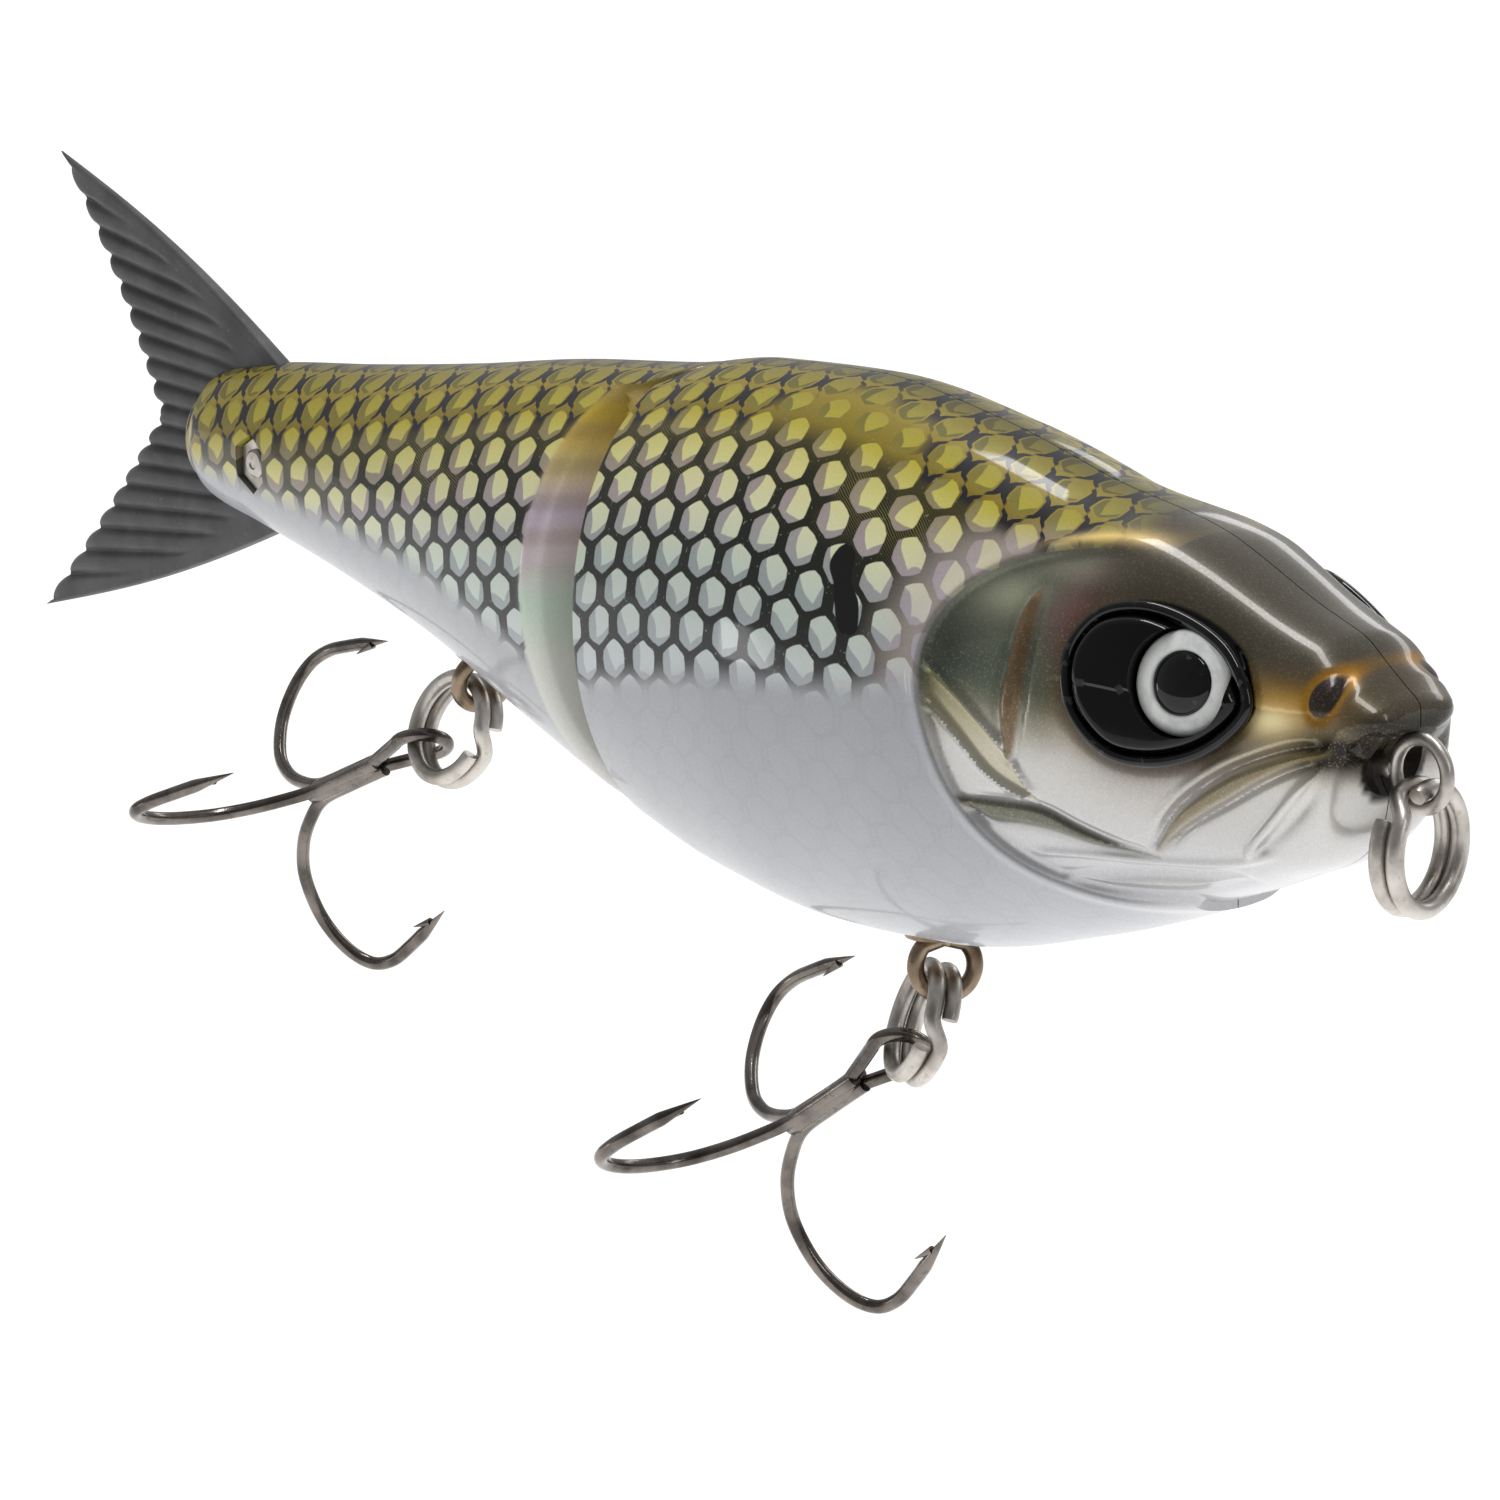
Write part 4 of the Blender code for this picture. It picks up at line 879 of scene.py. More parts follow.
def paint_front(mesh):
    back, height, out, arc = base_paint(mesh)
    distances = feature_distances(back * MM, height * MM)
    for name, distance in distances.items():
        store(mesh, name, distance)
    gill, socket = distances["gill_mm"], distances["socket_mm"]
    nostril = NOSTRIL_RADIUS - distances["nostril_mm"]
    scale, facet, net = (ramp(stops, arc) for stops in (
        SCALE_COLOURS, FACET_COLOURS, NET_COLOURS))
    behind = smoothstep(-7.5, -1.0, gill) * smoothstep(24, 34, back) * smoothstep(11, 8, height)
    net = over(net, tone(172, 162, 156), behind * 0.85)
    scale = over(scale, tone(204, 196, 194), behind * 0.6)
    facet = over(facet, tone(182, 168, 180), behind * 0.7)
    # head: dark metallic flake above, silver cheeks below
    brow = np.interp(back, (0, 5, 8.6, 12.2, 15.7, 20.4, 24.6, 28, 33, 38),
                     (-1.6, -0.2, 1.4, 3.2, 5.2, 6.6, 6.4, 4.6, 2.5, 0.5))
    above = smoothstep(-1.3, 0.7, height - brow)
    silver = ramp(((-22, (172, 173, 177)), (-15, (184, 184, 187)), (-6, (204, 202, 198)),
                   (-2, (184, 172, 142)), (3, (112, 101, 72))), height)
    cover_zone = smoothstep(25.5, 28.5, back) * smoothstep(-7.5, -0.5, height)
    glow = np.exp(-np.clip(-socket - 0.2, 0, None) / 1.7) * smoothstep(5.0, -1.0, height)
    lip = smoothstep(1.8, 0.6, np.abs(height + 0.9 + 0.25 * back)) * smoothstep(5, 2.5, back)
    along_x, across, up = (reach + MOUTH_PAINT_EDGE for reach in MOUTH_REACH)
    mouth = (((back - MOUTH_CENTRE[0]) / along_x) ** 2 + (out / across) ** 2
             + ((height - MOUTH_CENTRE[1]) / up) ** 2)
    inside_mouth = smoothstep(1.16, 1.04, mouth)

    def patch(middle, reach):
        return bell(back, middle[0], reach[0]) * bell(height, middle[1], reach[1])

    layers = (                  # colour and its share, each laid over those before it
        ((76, 71, 60), above),
        ((100, 108, 94), cover_zone * (1 - 0.4 * above)),
        ((44, 52, 48), patch((38.2, 0.6), (2.4, 2.8)) * 0.8),
        # painted highlights: the next two pale patches on the gill cover's upper part
        ((168, 172, 146), patch((33.8, 5.2), (3.2, 1.5)) * 0.7),
        ((150, 146, 128), patch((29.0, 7.6), (3.4, 0.9)) * 0.5),
        ((86, 60, 16), glow * 0.95),
        ((124, 62, 72), patch((27.4, 4.2), (2.4, 2.8)) * 0.5),
        ((196, 146, 40), patch((8.8, 0.0), (3.4, 1.6)) * 0.95),
        # painted highlight: bright pale gold patch on the cheek between the eye and the nostril
        ((252, 236, 184), patch((9.2, -0.9), (2.0, 1.1))),
        ((158, 112, 22), bell(nostril, 1.8, 0.45) * 0.85),
        ((26, 20, 12), lip * 0.95),
        ((26, 20, 12), patch((4.4, -2.9), (2.9, 1.7)) * 1.3),
        ((26, 20, 12), inside_mouth))
    head = silver
    for shade, share in layers:
        head = over(head, tone(*shade), share)
    # painted highlight: a bright gold line along the gill cover's raised top edge
    painted_crest_highlight = bell(gill, -0.75, 0.42) * bell(back, 28.5, 4.2) * (height > 6)
    paint = over(head, tone(238, 206, 128), painted_crest_highlight)
    crown = smoothstep(31, 24, back) * smoothstep(8.6, 9.4, height)
    chin = smoothstep(27, 20, back) * smoothstep(-14, -16, height)
    rim = smoothstep(0.0, 0.2, back - (NOSE.x - RIM_X) / MM + 0.4) * 0.9
    paint = over(paint, tone(196, 194, 190), rim)
    cover = np.max([painted_crest_highlight, crown, chin, rim], axis=0)
    on_head = np.maximum(cover, smoothstep(-0.3, 0.2, gill)) * (1 - inside_mouth)
    # less metal under the painted cheek highlight, so its pale colour shows
    metal = on_head * (0.60 - 0.35 * above) * (1 - 0.9 * patch((9.0, -0.7), (2.8, 1.7)))
    shell_colours(mesh, scale, facet, net, paint, cover, metal, 0.36 - 0.08 * on_head)


def paint_rear(mesh):
    back, height, out, arc = base_paint(mesh)
    scale, facet, net = (ramp(stops, arc) for stops in (
        SCALE_COLOURS, FACET_COLOURS, NET_COLOURS))
    for name in ("gill_mm", "nostril_mm", *OUTLINES):
        store(mesh, name, np.full(back.shape, -9.0))
    face = rear_start(out * MM) / MM - (NOSE.x / MM - back)
    strip = smoothstep(1.5, 0.9, face)
    paint = ramp(((-22, (196, 194, 192)), (-9, (206, 208, 200)), (-4, (186, 204, 188)),
                  (0, (204, 190, 194)), (4, (206, 192, 208)), (7, (222, 204, 150)),
                  (10, (214, 184, 84)), (13, (186, 160, 62)), (15, (86, 76, 38))), height)
    stripe = smoothstep(0.55, 0.95, np.abs(np.sin(height * pi / ROW_PITCH)))
    paint = over(paint, tone(150, 128, 104), stripe * smoothstep(-3, 2, height) * 0.35)
    shell_colours(mesh, scale, facet, net, paint, strip, strip * 0.35, 0.34 - 0.04 * strip)


FEATURE_TONES = (("lens_mm", -0.1, 0.5, 0.5, (132, 132, 128)),
                 ("jowl_mm", -0.05, 0.7, 0.8, (112, 98, 58)),
                 ("band_mm", -0.15, 0.35, 0.85, (72, 72, 48)),
                 ("blade_mm", -0.1, 0.3, 0.45, (190, 180, 134)),
                 ("slot_mm", -0.15, 0.2, 0.9, (110, 88, 62)),
                 ("nostril_mm", -0.15, 0.2, 0.95, (40, 34, 34)))


def painted_shell():
    """Clear-coated paint: faceted scales in a dark net, fading to pearl on the belly."""
    s = Surface("painted_shell", Coat_IOR=1.45, Specular_IOR_Level=0.15)
    wobble = s.noise(420, 2) - 0.5
    back = s.number("back_mm") + wobble * 0.5
    round_ = s.number("round_mm") + wobble * 0.4
    metrics, lefts, downs = [], [], []
    for half in (0, 1):
        x = (back - (FIRST_SCALE[0] - SCALE_PITCH / 2 + half * SCALE_PITCH / 2)).wrap(
            SCALE_PITCH) - SCALE_PITCH / 2
        y = (round_ - (FIRST_SCALE[1] - ROW_PITCH + half * ROW_PITCH)).wrap(
            2 * ROW_PITCH) - ROW_PITCH
        ax = s.number("back_mm").math("ABSOLUTE", x) * (1 / SCALE_HALF[0])
        ay = ax.math("ABSOLUTE", y) * (1 / SCALE_HALF[1])
        corner = ax.math("MAXIMUM", ax, ay + ax * 0.5)
        circle = ax.math("SQRT", ax * ax + ay * ay)
        metrics.append(corner * 0.62 + circle * 0.38)
        lefts.append(x)
        downs.append(y)
    nearer = metrics[0].math("LESS_THAN", metrics[1], metrics[0])
    metric = metrics[0].math("MINIMUM", *metrics)
    x = lefts[0] + (lefts[1] - lefts[0]) * nearer
    y = downs[0] + (downs[1] - downs[0]) * nearer
    near_ridge = s.number("round_mm").rise(11.0, 9.4)
    metric = metric * (near_ridge * 0.16 + 1.0)
    inside_scale = metric.rise(1.03, 0.95)
    turn = s.noise(90, 1) * 5.0 - 2.1
    cosine, sine = turn.math("COSINE", turn), turn.math("SINE", turn)
    first = (x * cosine + y * sine).rise(0.42, 0.56)
    second = (y * cosine - x * sine).rise(0.85, 1.0)
    facet = first.math("MAXIMUM", first, second)
    grain = s.noise(5200, 3)
    flakes = s.cells(9000)
    scale = s.mix(facet * 0.85, s.tint("scale_tint"), s.tint("facet_tint"))
    # dark patches between the scales of the back
    patch = (x.math("ABSOLUTE", x).rise(0.95, 1.30) * metric.rise(1.10, 1.18) * near_ridge
             * s.noise(70, 1).rise(0.30, 0.42))
    hatch = ((back + round_ * 1.7) * 2.4).wrap(1.0).rise(0.55, 0.8)
    hatch = hatch * s.number("round_mm").rise(9.0, 12.0) * s.number("round_mm").rise(18.5, 13.5)
    net = s.mix(hatch * s.noise(150, 2).rise(0.42, 0.62) * 0.55, s.tint("net_tint"),
                tone(150, 138, 78))
    specks = s.noise(2600, 2).rise(0.66, 0.72)
    net = s.mix(specks * 0.5, net, tone(150, 156, 140))
    net = s.mix(patch, net, tone(26, 24, 32))
    pattern = s.mix(inside_scale, net, scale)
    line = metric.rise(1.02, 1.12) * metric.rise(1.45, 1.2)
    pearl = s.mix(line * 0.07, tone(176, 177, 181), tone(104, 108, 112))
    pearl = s.mix(s.noise(60, 2).rise(0.4, 0.7) * 0.25, pearl, tone(164, 168, 174))
    body = s.mix(s.number("contrast"), pearl, pattern)
    gill = s.number("gill_mm")
    crease = gill.rise(-0.55, -0.2) * gill.rise(0.1, -0.1) * 0.45
    body = s.mix(crease, body, tone(70, 66, 60))
    on_head = gill.rise(-0.14, 0.08)
    on_head = on_head.math("MAXIMUM", on_head, s.number("paint_cover"))
    colour = s.mix(on_head, body, s.tint("paint_tint"))
    for name, low, high, share, shade in FEATURE_TONES:
        colour = s.mix(s.number(name).rise(low, high) * share, colour, tone(*shade))
    black = s.number("socket_mm").rise(-0.50, -0.20)
    blot = s.number("spot_mm").rise(-0.08, 0.06)
    dark = black.math("MAXIMUM", black, blot)
    colour = s.mix(dark, colour, tone(6, 5, 6))
    colour = s.mix(grain.rise(0.3, 0.75) * 0.30, colour, tone(128, 124, 118), "SOFT_LIGHT")
    metallic = s.number("metal") * (1 - dark)
    colour = s.mix(flakes.rise(0.80, 1.0) * metallic * 0.30, colour,
                   tone(206, 190, 150), "SCREEN")
    s.wear("Base Color", colour)
    s.wear("Metallic", metallic)
    s.wear("Roughness", s.number("gloss") - dark * 0.2 + grain.rise(0.3, 0.8) * 0.08)
    s.wear("Coat Roughness", s.number("socket_mm").rise(-1.6, -0.2, 0.07, 0.015))
    s.wear("Coat Weight", black.rise(0.0, 1.0, 0.45, 0.25))
    s.bump(s.noise(900, 2) * 0.6 + grain * 0.4, 0.05, 0.0001)
    return s.material


def metal(name, light, dark, rough, grain_scale):
    """Worn plated wire or turned metal: cloudy tone, fine scratches."""
    s = Surface(name, Metallic=1.0)
    cloud = s.noise(260, 4)
    grain = s.noise(grain_scale, 3, 0.7)
    spots = s.noise(1500, 3).rise(0.60, 0.70)
    colour = s.mix(cloud.rise(0.35, 0.7), light, dark)
    s.wear("Base Color", s.mix(spots * 0.45, colour, dark))
    s.wear("Roughness", grain * 0.22 + cloud * 0.12 + (rough - 0.17))
    s.bump(grain, 0.20, 0.00004)
    return s.material


def rubber():
    """Charcoal rubber with dust specks."""
    s = Surface("soft_rubber", Specular_IOR_Level=0.35, Sheen_Weight=0.15, Sheen_Roughness=0.5)
    cloud = s.noise(160, 4)
    specks = s.noise(1900, 2).rise(0.68, 0.74)
    colour = s.mix(cloud.rise(0.35, 0.7), tone(60, 60, 62), tone(80, 80, 82))
    s.wear("Base Color", s.mix(specks * 0.35, colour, tone(120, 120, 120)))
    s.wear("Roughness", s.noise(700, 3) * 0.25 + 0.46)
    s.bump(s.noise(2600, 3), 0.25, 0.00008)
    return s.material


def iris():
    """Frosted pale ring that darkens a little towards the pupil."""
    s = Surface("iris", Coat_Weight=0.8, Coat_Roughness=0.08)
    ring = s.number("ring_mm")
    cloud = s.noise(800, 4)
    colour = s.mix(cloud.rise(0.35, 0.7), tone(234, 236, 233), tone(206, 210, 208))
    colour = s.mix(ring.rise(2.75, 2.35) * 0.55, colour, tone(120, 124, 122))
    colour = s.mix(ring.rise(3.75, 4.0) * 0.5, colour, tone(140, 143, 142))
    s.wear("Base Color", colour)
    s.wear("Roughness", cloud * 0.3 + 0.22)
    s.bump(s.noise(3000, 2), 0.15, 0.00005)
    return s.material


def pupil():
    """Deep black dome with a few trapped flecks."""
    s = Surface("clear_lens", Roughness=0.02, Coat_Weight=0.2, Specular_IOR_Level=0.3)
    flecks = s.cells(2600).rise(0.93, 1.0)
    cloud = s.noise(500, 2).rise(0.4, 0.8)
    colour = s.mix(cloud, tone(5, 5, 7), tone(18, 18, 21))
    s.wear("Base Color", s.mix(flecks * 0.5, colour, tone(70, 72, 76)))
    return s.material


def studio_floor():
    s = Surface("studio_floor", Roughness=0.9, Emission_Strength=0.84)
    s.wear("Base Color", s.mix(s.noise(3, 2) * 0.05, (0.84, 0.84, 0.84), (0.81, 0.81, 0.82)))
    s.shader.inputs["Emission Color"].default_value = (1, 1, 1, 1)
    return s.material


MATERIALS = {
    "painted_shell": painted_shell(),
    "stainless": metal("stainless", tone(200, 195, 188), tone(150, 144, 137), 0.40, 2600),
    "aged_nickel": metal("aged_nickel", tone(150, 132, 112), tone(92, 78, 62), 0.34, 2200),
    "black_nickel": metal("black_nickel", tone(126, 119, 113), tone(76, 71, 67), 0.19, 3000),
    "lead": metal("lead", tone(120, 122, 126), tone(80, 82, 86), 0.6, 900),
    "soft_rubber": rubber(),
    "iris": iris(),
    "clear_lens": pupil(),
}


def finish(obj, slot_name):
    """Give a piece the material and the record's slot of one name."""
    obj.data.materials.clear()
    obj.data.materials.append(MATERIALS[slot_name])


def dress(obj, slot_name, body, *nodes):
    """Finish a piece, put it on its body and let it stand for CAD nodes."""
    finish(obj, slot_name)
    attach(obj, body)
    if nodes:
        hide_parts(*nodes)


# ---- hangers: swivel eyes, rings and hooks -------------------------------------------
TIE_LOOP_RADIUS = 2.6 * MM
TIE_WIRE = 1.1 * MM
RING_WIRE = 1.4 * MM
RING_LANE = 0.73 * MM
RING_MEAN = (10.5 * MM - RING_WIRE) / 2
SWIVEL_WIRE = 1.4 * MM
SWIVEL_LOOP_RADIUS = 2.45 * MM
HOOK_WIRE = 1.2 * MM
HOOK_EYE_RADIUS = 2.3 * MM
HOOK_SPREAD = 14.65 * MM
HOOK_REACH = 22.2 * MM
HANGERS = {                     # body, flange's frame, and degrees of yaw, lean and so on
    "belly": ("front_body", BELLY_PLACE, (152.4, -21.5, 17.9, 27.7, -15.0, 3.2)),
    "rear": ("rear_body", REAR_PLACE, (171.5, -20.7, 4.0, 38.5, -1.2, 15.4)),
}


def coil_offset(loop_radius, loop_wire):
    """How far a ring's coil hangs below the centre of the loop that holds it."""
    reach = loop_radius - loop_wire / 2 - RING_WIRE / 2 - 0.1 * MM
    return sqrt(max(0.0, reach**2 - RING_LANE**2))


class Hanger:
    """Where the eye, ring and hook of one hanger sit in the hanging pose."""

    def __init__(self, place, pose):
        yaw, lean, swing, seat, hook_swing, turn = (radians(a) for a in pose)
        self.down = place.to_3x3() @ Vector((0, 0, 1))
        self.flange = place.translation
        facing = Vector((cos(yaw), sin(yaw), 0))
        self.eye_normal = (facing - facing.dot(self.down) * self.down).normalized()
        self.eye_side = self.down.cross(self.eye_normal)
        self.eye_centre = self.flange + SWIVEL_LOOP_RADIUS * self.down
        out = self.down * cos(lean) + self.eye_side * sin(lean)
        pivot = self.eye_centre + SWIVEL_LOOP_RADIUS * out
        self.ring_axis = self.eye_side * cos(lean) - self.down * sin(lean)
        self.ring_down = out * cos(swing) + self.ring_axis.cross(out) * sin(swing)
        lift = SWIVEL_LOOP_RADIUS - coil_offset(SWIVEL_LOOP_RADIUS, SWIVEL_WIRE)
        self.ring_centre = pivot + (RING_MEAN - lift) * self.ring_down
        across = self.ring_axis.cross(self.ring_down)
        radial = self.ring_down * cos(seat) + across * sin(seat)
        self.hook_pivot = self.ring_centre + RING_MEAN * radial
        self.hook_axis = across * cos(seat) - self.ring_down * sin(seat)
        self.hook_down = radial * cos(hook_swing) + self.ring_axis * sin(hook_swing)
        self.turn = turn


def swivel_eye(name, hanger):
    """Teardrop loop with a stem that goes up into the barrel."""
    shoulder = radians(45)
    points = [(0.0, 0.2 * MM - SWIVEL_LOOP_RADIUS)]
    for a in steps(-pi / 2 - shoulder, pi / 2 + shoulder, 49):
        points.append((SWIVEL_LOOP_RADIUS * sin(a), SWIVEL_LOOP_RADIUS * cos(a)))
    loop = wire("loop", [hanger.eye_centre + hanger.eye_side * s + hanger.down * d
                         for s, d in points], SWIVEL_WIRE / 2, closed=True)
    place = axes(hanger.flange, hanger.down, Vector((1, 0, 0)))
    stem = turned("stem", ((0, 0.9), (0.7, 0.75), (0.9, 0.4), (0.9, -4.6), (0, -4.6)), place, 40)
    return merged(name, [loop, stem])


def swivel_barrel(name, place):
    """Flange with an eased rim, dished round the stem's bore."""
    profile = ((1.95, -0.05), (2.1, 0), (2.95, 0), (3.12, -0.07), (FLANGE_RADIUS, -0.22),
               (FLANGE_RADIUS, -0.5), (3.1, -0.6), (BARREL_RADIUS, -0.6), (BARREL_RADIUS, -7.0),
               (0, -7.0), (0, -5.5), (1.9, -5.5), (1.9, -3.7), (1.2, -3.7), (1.2, -0.95))
    return turned(name, profile, place, 72)


def split_ring(name, centre, axis, start):
    """Two flat turns of wire joined by a short crossing, with square-cut ends."""
    crossing = radians(34)
    u = (start - start.dot(axis) * axis).normalized()
    v = axis.cross(u)
    total = 4 * pi - crossing
    points = []
    for a in steps(0, total, 150):
        t = max(0.0, min(1.0, (a - (2 * pi - crossing)) / crossing))
        offset = RING_LANE * (2 * t * t * (3 - 2 * t) - 1)
        points.append(centre + RING_MEAN * (cos(a) * u + sin(a) * v) + offset * axis)
    return wire(name, points, RING_WIRE / 2, tip=[0.93] + [1.0] * 148 + [0.93])


PRONG = ((0.24, 0.045), (0.45, 0.045), (0.62, 0.055), (0.74, 0.130), (0.86, 0.262),
         (0.955, 0.460), (1.000, 0.735), (0.975, 0.975), (0.900, 1.125), (0.790, 1.160),
         (0.660, 1.120), (0.520, 1.060), (0.392, 1.000))


def along(points, count):
    """Evenly spread samples of a smooth curve through 2-D points."""
    p = np.array(points)
    p = np.vstack([p[:1], p, p[-1:]])
    shares = np.linspace(0, 1, 12, endpoint=False)[:, None]
    fine = np.vstack([*(catmull(p, i, shares) for i in range(1, len(p) - 2)), p[-2:-1]])
    travel = np.concatenate([[0], np.cumsum(np.linalg.norm(np.diff(fine, axis=0), axis=1))])
    goal = np.linspace(0, travel[-1], count)
    return np.stack([np.interp(goal, travel, fine[:, i]) for i in (0, 1)], axis=-1)


def treble_hook(name, hanger):
    """Three barbed prongs brazed to one eyed shank."""
    down, side = hanger.hook_down, hanger.hook_axis
    third = down.cross(side)
    start = hanger.hook_pivot
    place = axes(start, down, side)
    shank = turned("shank", [(r, share * HOOK_REACH / MM) for r, share in (
        (0, 0.25), (0.50, 0.26), (0.88, 0.31), (1.0, 0.45), (1.08, 0.60), (0.85, 0.66),
        (0, 0.68))], place, 36, 60)
    spread = radians(118)
    loop = [(0.36 * HOOK_REACH, 0.40 * HOOK_WIRE), (0.27 * HOOK_REACH, 0.45 * HOOK_WIRE)]
    loop += [(-HOOK_EYE_RADIUS * cos(a), HOOK_EYE_RADIUS * sin(a))
             for a in steps(spread, -spread, 41)]
    loop += [(0.27 * HOOK_REACH, -0.45 * HOOK_WIRE), (0.36 * HOOK_REACH, -0.40 * HOOK_WIRE)]
    pieces = [shank, wire("loop", [start + s * down + t * third for s, t in loop],
                          HOOK_WIRE / 2)]
    count = 90
    profile = along([(HOOK_REACH * s, HOOK_SPREAD * r) for s, r in PRONG], count)
    left = np.linspace(1, 0, count)
    taper = np.clip(0.06 + left / 0.105, 0.06, 1.0).tolist()
    barb_at = profile[int(count * 0.925)]
    tip_way = profile[-1] - profile[int(count * 0.93)]
    tip_way /= np.linalg.norm(tip_way)
    inward = np.array((tip_way[1], -tip_way[0]))
    if inward[1] > 0:
        inward = -inward
    root = barb_at + tip_way * 0.5 * MM + inward * 0.22 * MM
    end = barb_at - tip_way * 1.5 * MM + inward * 1.05 * MM
    for k in range(3):
        a = hanger.turn + 2 * pi * k / 3
        radial = side * cos(a) + third * sin(a)

        def to_space(point):
            return start + float(point[0]) * down + float(point[1]) * radial

        pieces.append(wire("prong", [to_space(q) for q in profile], HOOK_WIRE / 2, tip=taper))
        barb = [to_space(root + (end - root) * t) for t in steps(0, 1, 8)]
        pieces.append(wire("barb", barb, 0.40 * MM, tip=steps(1.0, 0.10, 8), sides=3))
    return merged(name, pieces)


def line_tie(name):
    loop = wire("loop", [Vector((TIE_LOOP_RADIUS * cos(a), 0, TIE_LOOP_RADIUS * sin(a)))
                         for a in steps(0, 2 * pi, 97)[:-1]],
                TIE_WIRE / 2, closed=True, sides=7)
    shank = turned("shank", ((0, -2.6), (0.7, -2.7), (0.85, -3.1), (0.85, -14), (0, -14)),
                   axes(Vector((0, 0, 0)), Vector((1, 0, 0)), Vector((0, 0, 1))), 40)
    return merged(name, [loop, shank])


# ---- eyes ----------------------------------------------------------------------------
def iris_ring(name, place):
    """Frosted ring with rounded shoulders and a well for the pupil."""
    base = -1.3
    profile = ((0, base), (EYE_RADIUS - 0.05, base), (EYE_RADIUS, base + 0.2),
               (EYE_RADIUS, 0.20), (3.90, 0.45), (3.65, 0.61), (3.2, 0.75), (2.8, 0.81),
               (2.52, 0.78), (2.40, 0.65), (2.38, 0.15), (0, 0.15))
    obj = turned(name, profile, place, 96, 50)
    points = np.zeros(len(obj.data.vertices) * 3, np.float32)
    obj.data.vertices.foreach_get("co", points)
    inverse = np.array(place.inverted())
    local = points.reshape(-1, 3) @ inverse[:3, :3].T + inverse[:3, 3]
    store(obj.data, "ring_mm", np.hypot(local[:, 0], local[:, 1]) / MM)
    return obj


def pupil_dome(name, place):
    dome = [(2.34 * cos(a), 0.57 + 0.60 * sin(a)) for a in steps(0.15, pi / 2, 14)[:-1]]
    return turned(name, ((0, 0.2), (2.36, 0.2), (2.36, 0.65), *dome, (0, 1.17)), place, 96, 60)


def flank_point(side, back, height, lift=0.0):
    """Point of the plain body's flank at a distance behind the nose tip and a height."""
    ring = ring_points(side, np.full(181, back), np.linspace(-1.5, 1.5, 181))
    y = float(np.interp(NOSE.z + height, ring[:, 2], np.abs(ring[:, 1])))
    return Vector((float(ring[0, 0]), side * (y + lift), NOSE.z + height))


def socket_rim(name, side):
    """Glossy lip moulded round the eye socket."""
    points = [flank_point(side, back, height, 0.12 * MM)
              for back, height in spline(SOCKET, 132, closed=True)[:-1].tolist()]
    return wire(name, points, 0.48 * MM, closed=True, sides=6)


def socket_bead(name, side):
    """Black dome that fills the tail side of the socket."""
    back, height, radius = (value * MM for value in BALL)
    centre = flank_point(side, back, height, -2.7 * MM)
    bead = ellipsoid(name, Vector((0, 0, 0)), (radius, radius, 2.4 * MM), 72)
    bead.data.transform(axes(centre, eye_place(side).to_3x3().col[2], Vector((0, 0, 1))))
    return bead


# ---- the pieces ----------------------------------------------------------------------
def hex_prism(name, across, low, high):
    """Hexagon across the body at the tail screw, with two flats upright."""
    radius = across / 2 / cos(pi / 6)
    corners = [(NOSE.x - SCREW_BACK + radius * sin(k * pi / 3),
                SCREW_Z + radius * cos(k * pi / 3)) for k in range(6)]
    return prism(name, [(x, low, z) for x, z in corners], [(x, high, z) for x, z in corners], 20)


def tail_nut():
    """Hexagon nut in its pocket, with the screw's domed end through it."""
    face = NUT_INSET - float(section(SCREW_BACK)[0])
    nut = hex_prism("nut", NUT_ACROSS, face, face + NUT_THICKNESS)
    place = axes(Vector((NOSE.x - SCREW_BACK, 0, SCREW_Z)), Vector((0, -1, 0)),
                 Vector((0, 0, 1)))
    end = turned("screw_end", [(r, z - face / MM) for r, z in (
        (0, -0.4), (1.3, -0.4), (1.3, 0.3), (1.05, 0.5), (0.55, 0.55), (0.45, 0.40),
        (0, 0.35))], place, 48, 30)
    return merged("nut_and_screw_end", [nut, end])


def build_shells():
    screw_half = float(section(SCREW_BACK)[0])
    across = axes(Vector((NOSE.x - SCREW_BACK, 0, SCREW_Z)), Vector((0, 1, 0)),
                  Vector((0, 0, 1)))
    for side, tag in ((-1, "right"), (1, "left")):
        front = carved(front_skin(side, f"painted_front_{tag}"), [
            cylinder("recess", Matrix.Translation((HINGE_X, 0, 0)), RECESS_RADIUS, -60, 60),
            ellipsoid("mouth", NOSE + MM * Vector((-MOUTH_CENTRE[0], 0, MOUTH_CENTRE[1])),
                      MM * Vector(MOUTH_REACH)),
            pocket("seat", BELLY_PLACE),
            cylinder("eye_seat", eye_place(side), EYE_RADIUS + 0.12, -1.6, 6)])
        paint_front(front.data)
        dress(front, "painted_shell", "front_body", f"front_shell_{tag}")
        cutters = [pocket("seat", REAR_PLACE), tail_sheet("fin_room", 0.3 * MM), *hinge_slots()]
        if side < 0:
            inner = NUT_INSET + NUT_THICKNESS + 0.6 * MM - screw_half
            cutters.append(hex_prism("nut_room", NUT_ACROSS + NUT_ROOM, inner - 6.3 * MM, inner))
        else:
            low = screw_half / MM - SCREW_HEAD_SEAT
            cutters.append(cylinder("head_room", across, 2.0, low, low + 5, 64))
        rear = carved(rear_skin(side, f"painted_rear_{tag}"), cutters)
        paint_rear(rear.data)
        dress(rear, "painted_shell", "rear_body", f"rear_shell_{tag}")


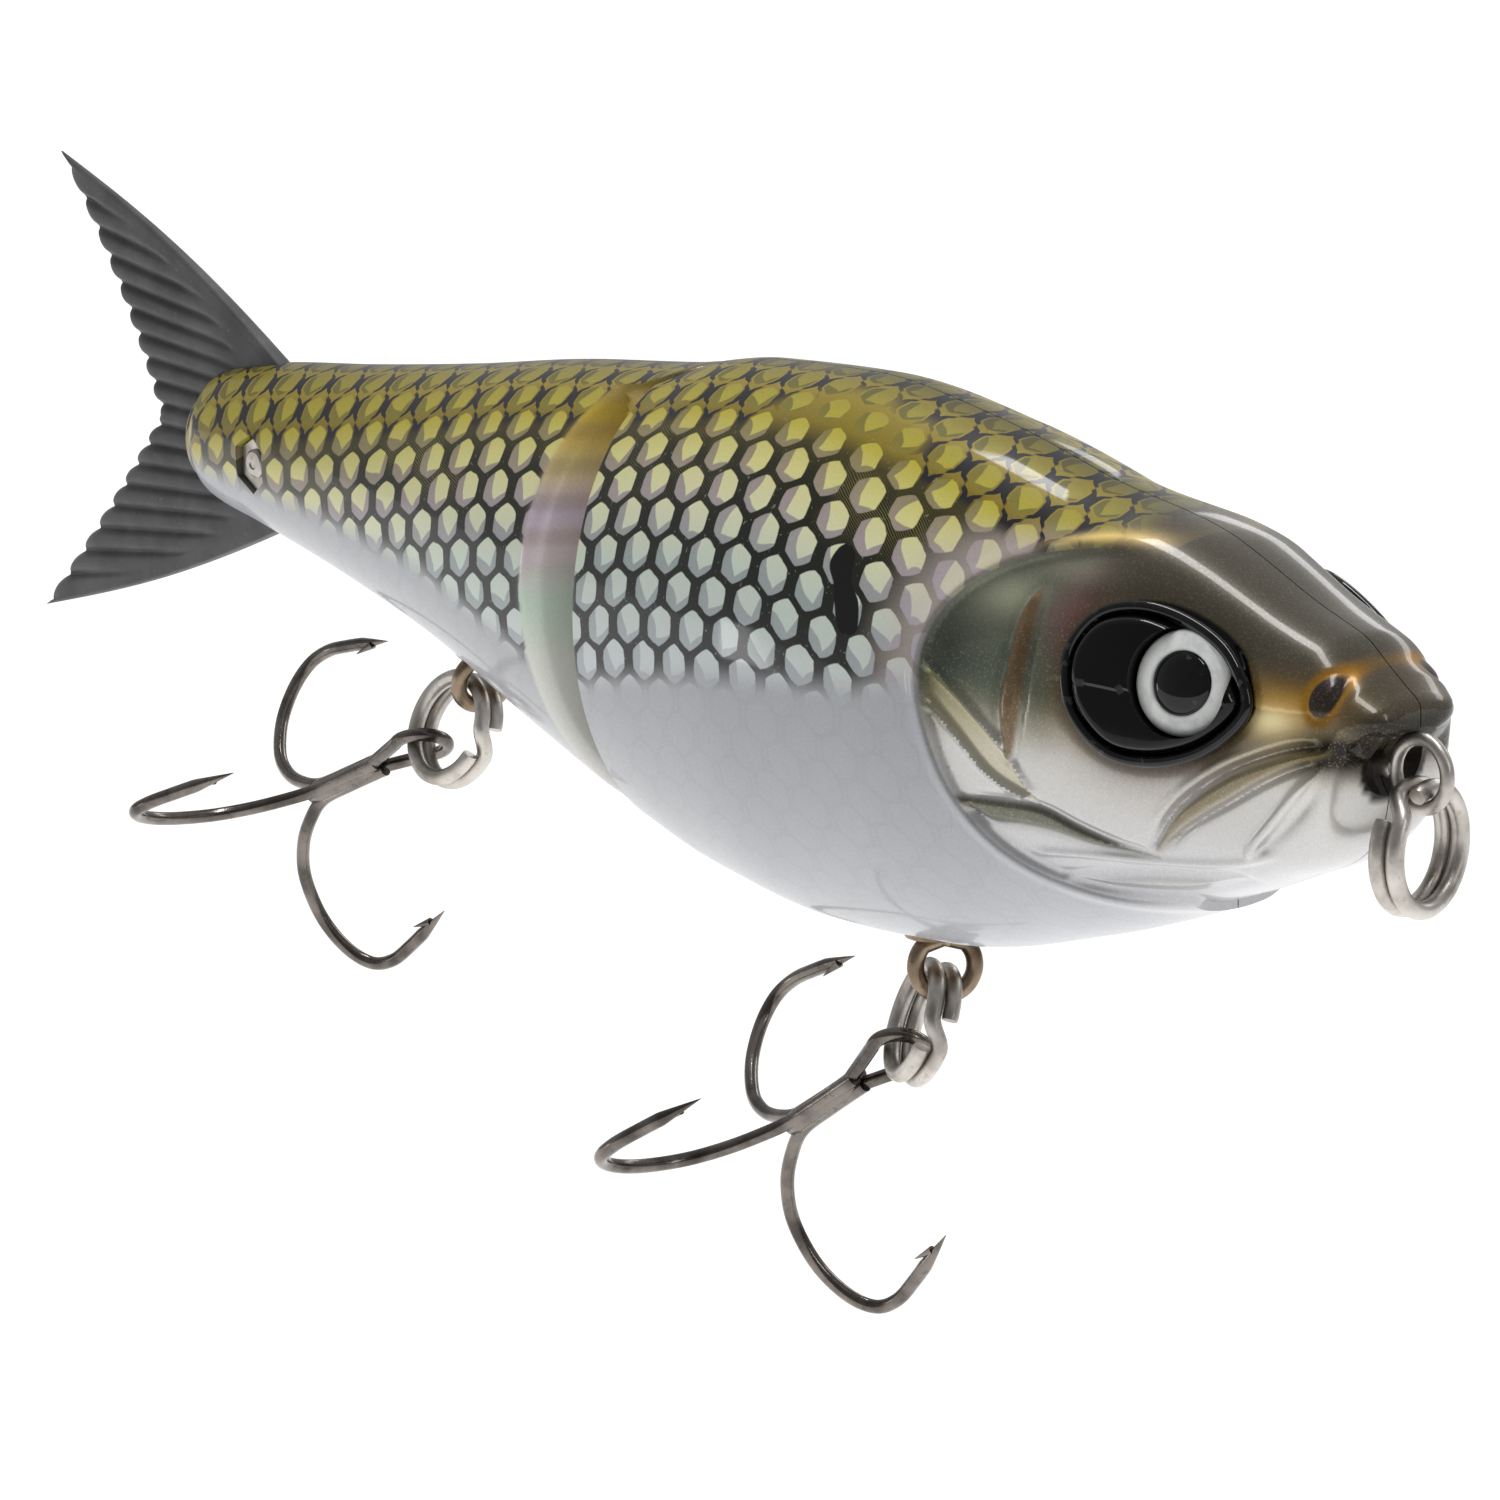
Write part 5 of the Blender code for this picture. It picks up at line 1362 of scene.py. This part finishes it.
def build_pieces():
    for side, tag in ((-1, "right"), (1, "left")):
        place = eye_place(side)
        dress(iris_ring(f"iris_{tag}", place), "iris", "front_body", f"eye_disc_{tag}")
        dress(pupil_dome(f"pupil_{tag}", place), "clear_lens", "front_body", f"eye_lens_{tag}")
        dress(socket_rim(f"socket_rim_{tag}", side), "clear_lens", "front_body")
        dress(socket_bead(f"socket_bead_{tag}", side), "clear_lens", "front_body")
    dress(line_tie("tie_wire"), "stainless", "front_body", "line_tie_eye")
    dress(tail_sheet("ribbed_tail"), "soft_rubber", "rear_body", "tail_fin")
    dress(tail_nut(), "stainless", "rear_body", "tail_nut")
    yaw, ends = radians(12), radians(146)
    hang = coil_offset(TIE_LOOP_RADIUS, TIE_WIRE) + RING_MEAN
    ring = split_ring("tie_ring", Vector((0, 0, -hang)), Vector((cos(yaw), sin(yaw), 0)),
                      Vector((-sin(yaw) * cos(ends), cos(yaw) * cos(ends), sin(ends))))
    dress(ring, "stainless", "line_tie_ring", "line_tie_split_ring")
    for prefix, (holder, place, pose) in HANGERS.items():
        hanger = Hanger(place, pose)
        dress(swivel_barrel(f"{prefix}_flange", place), "aged_nickel", holder,
              f"{prefix}_swivel_barrel")
        dress(swivel_eye(f"{prefix}_eye_wire", hanger), "aged_nickel", f"{prefix}_eye",
              f"{prefix}_swivel_eye")
        ring = split_ring(f"{prefix}_ring_wire", hanger.ring_centre, hanger.ring_axis,
                          -hanger.ring_axis.cross(hanger.ring_down))
        dress(ring, "stainless", f"{prefix}_ring", f"{prefix}_split_ring")
        dress(treble_hook(f"{prefix}_hook_wire", hanger), "black_nickel", f"{prefix}_hook",
              f"{prefix}_treble_hook")


def dress_carried_nodes():
    """CAD pieces that show as they are get their finish."""
    for slot_name, names in (("stainless", ("hinge_eye_upper", "hinge_eye_lower", "hinge_pin",
                                            "tail_screw")),
                             ("lead", ("front_ballast", "rear_ballast"))):
        for name in names:
            finish(frame["nodes"][name], slot_name)


# ---- studio --------------------------------------------------------------------------
LIGHT_TARGET = (-0.07, 0, 0)
VIEW_SIDE = (0.7473, -0.62706, 0.21985)     # from the object towards the camera
VIEW_UP = (-0.16842, 0.14132, 0.97553)
CAMERA_PLACE = (0.2950, -0.3114, 0.0978)
FLOOR_Z = -0.42


def area_light(name, place, size, energy):
    """Soft box that faces the middle of the lure."""
    lamp = bpy.data.lights.new(name, "AREA")
    lamp.shape = "RECTANGLE"
    lamp.size, lamp.size_y = size
    lamp.energy = energy
    obj = linked(name, lamp)
    obj.location = place
    obj.rotation_mode = "QUATERNION"
    obj.rotation_quaternion = (Vector(LIGHT_TARGET) - Vector(place)).to_track_quat("-Z", "Y")


def studio():
    bm = bmesh.new()
    bmesh.ops.create_grid(bm, x_segments=1, y_segments=1, size=6)
    bm.transform(Matrix.Translation((0, 0, FLOOR_Z)))
    floor = linked("floor", mesh_of("floor", bm))
    floor.data.materials.append(studio_floor())
    area_light("top_box", (-0.05, 0.06, 0.62), (0.75, 0.09), 3.2)
    area_light("side_box", (-0.62, -0.50, -0.06), (0.05, 0.10), 0.10)
    area_light("front_box", (0.66, 0.10, 0.30), (0.06, 0.40), 0.6)
    area_light("rear_box", (-0.20, 0.62, 0.30), (0.60, 0.10), 0.7)
    world = bpy.data.worlds.new("studio_air")
    world.use_nodes = True
    tree = world.node_tree
    sky = tree.nodes["Background"]
    sky.inputs["Color"].default_value = (1, 1, 1, 1)
    place = tree.nodes.new("ShaderNodeTexCoord")
    facing = tree.nodes.new("ShaderNodeVectorMath")
    facing.operation = "DOT_PRODUCT"
    facing.inputs[1].default_value = VIEW_SIDE
    tree.links.new(place.outputs["Generated"], facing.inputs[0])
    shade = tree.nodes.new("ShaderNodeMapRange")
    for key, value in (("From Min", -0.3), ("From Max", 0.95), ("To Min", 0.46),
                       ("To Max", 0.17)):
        shade.inputs[key].default_value = value
    tree.links.new(facing.outputs["Value"], shade.inputs["Value"])
    tree.links.new(shade.outputs["Result"], sky.inputs["Strength"])
    bpy.context.scene.world = world


def camera():
    data = bpy.data.cameras.new("camera")
    data.lens = 144
    data.sensor_width = 36
    data.clip_start, data.clip_end = 0.01, 20
    obj = linked("camera", data)
    back = Vector(VIEW_SIDE).normalized()
    right = Vector(VIEW_UP).normalized().cross(back).normalized()
    obj.matrix_world = Matrix.Translation(CAMERA_PLACE) @ Matrix(
        (right, back.cross(right), back)).transposed().to_4x4()
    bpy.context.scene.camera = obj


def main():
    build_shells()
    build_pieces()
    dress_carried_nodes()
    studio()
    camera()
    bpy.context.scene.view_settings.view_transform = "Standard"


main()
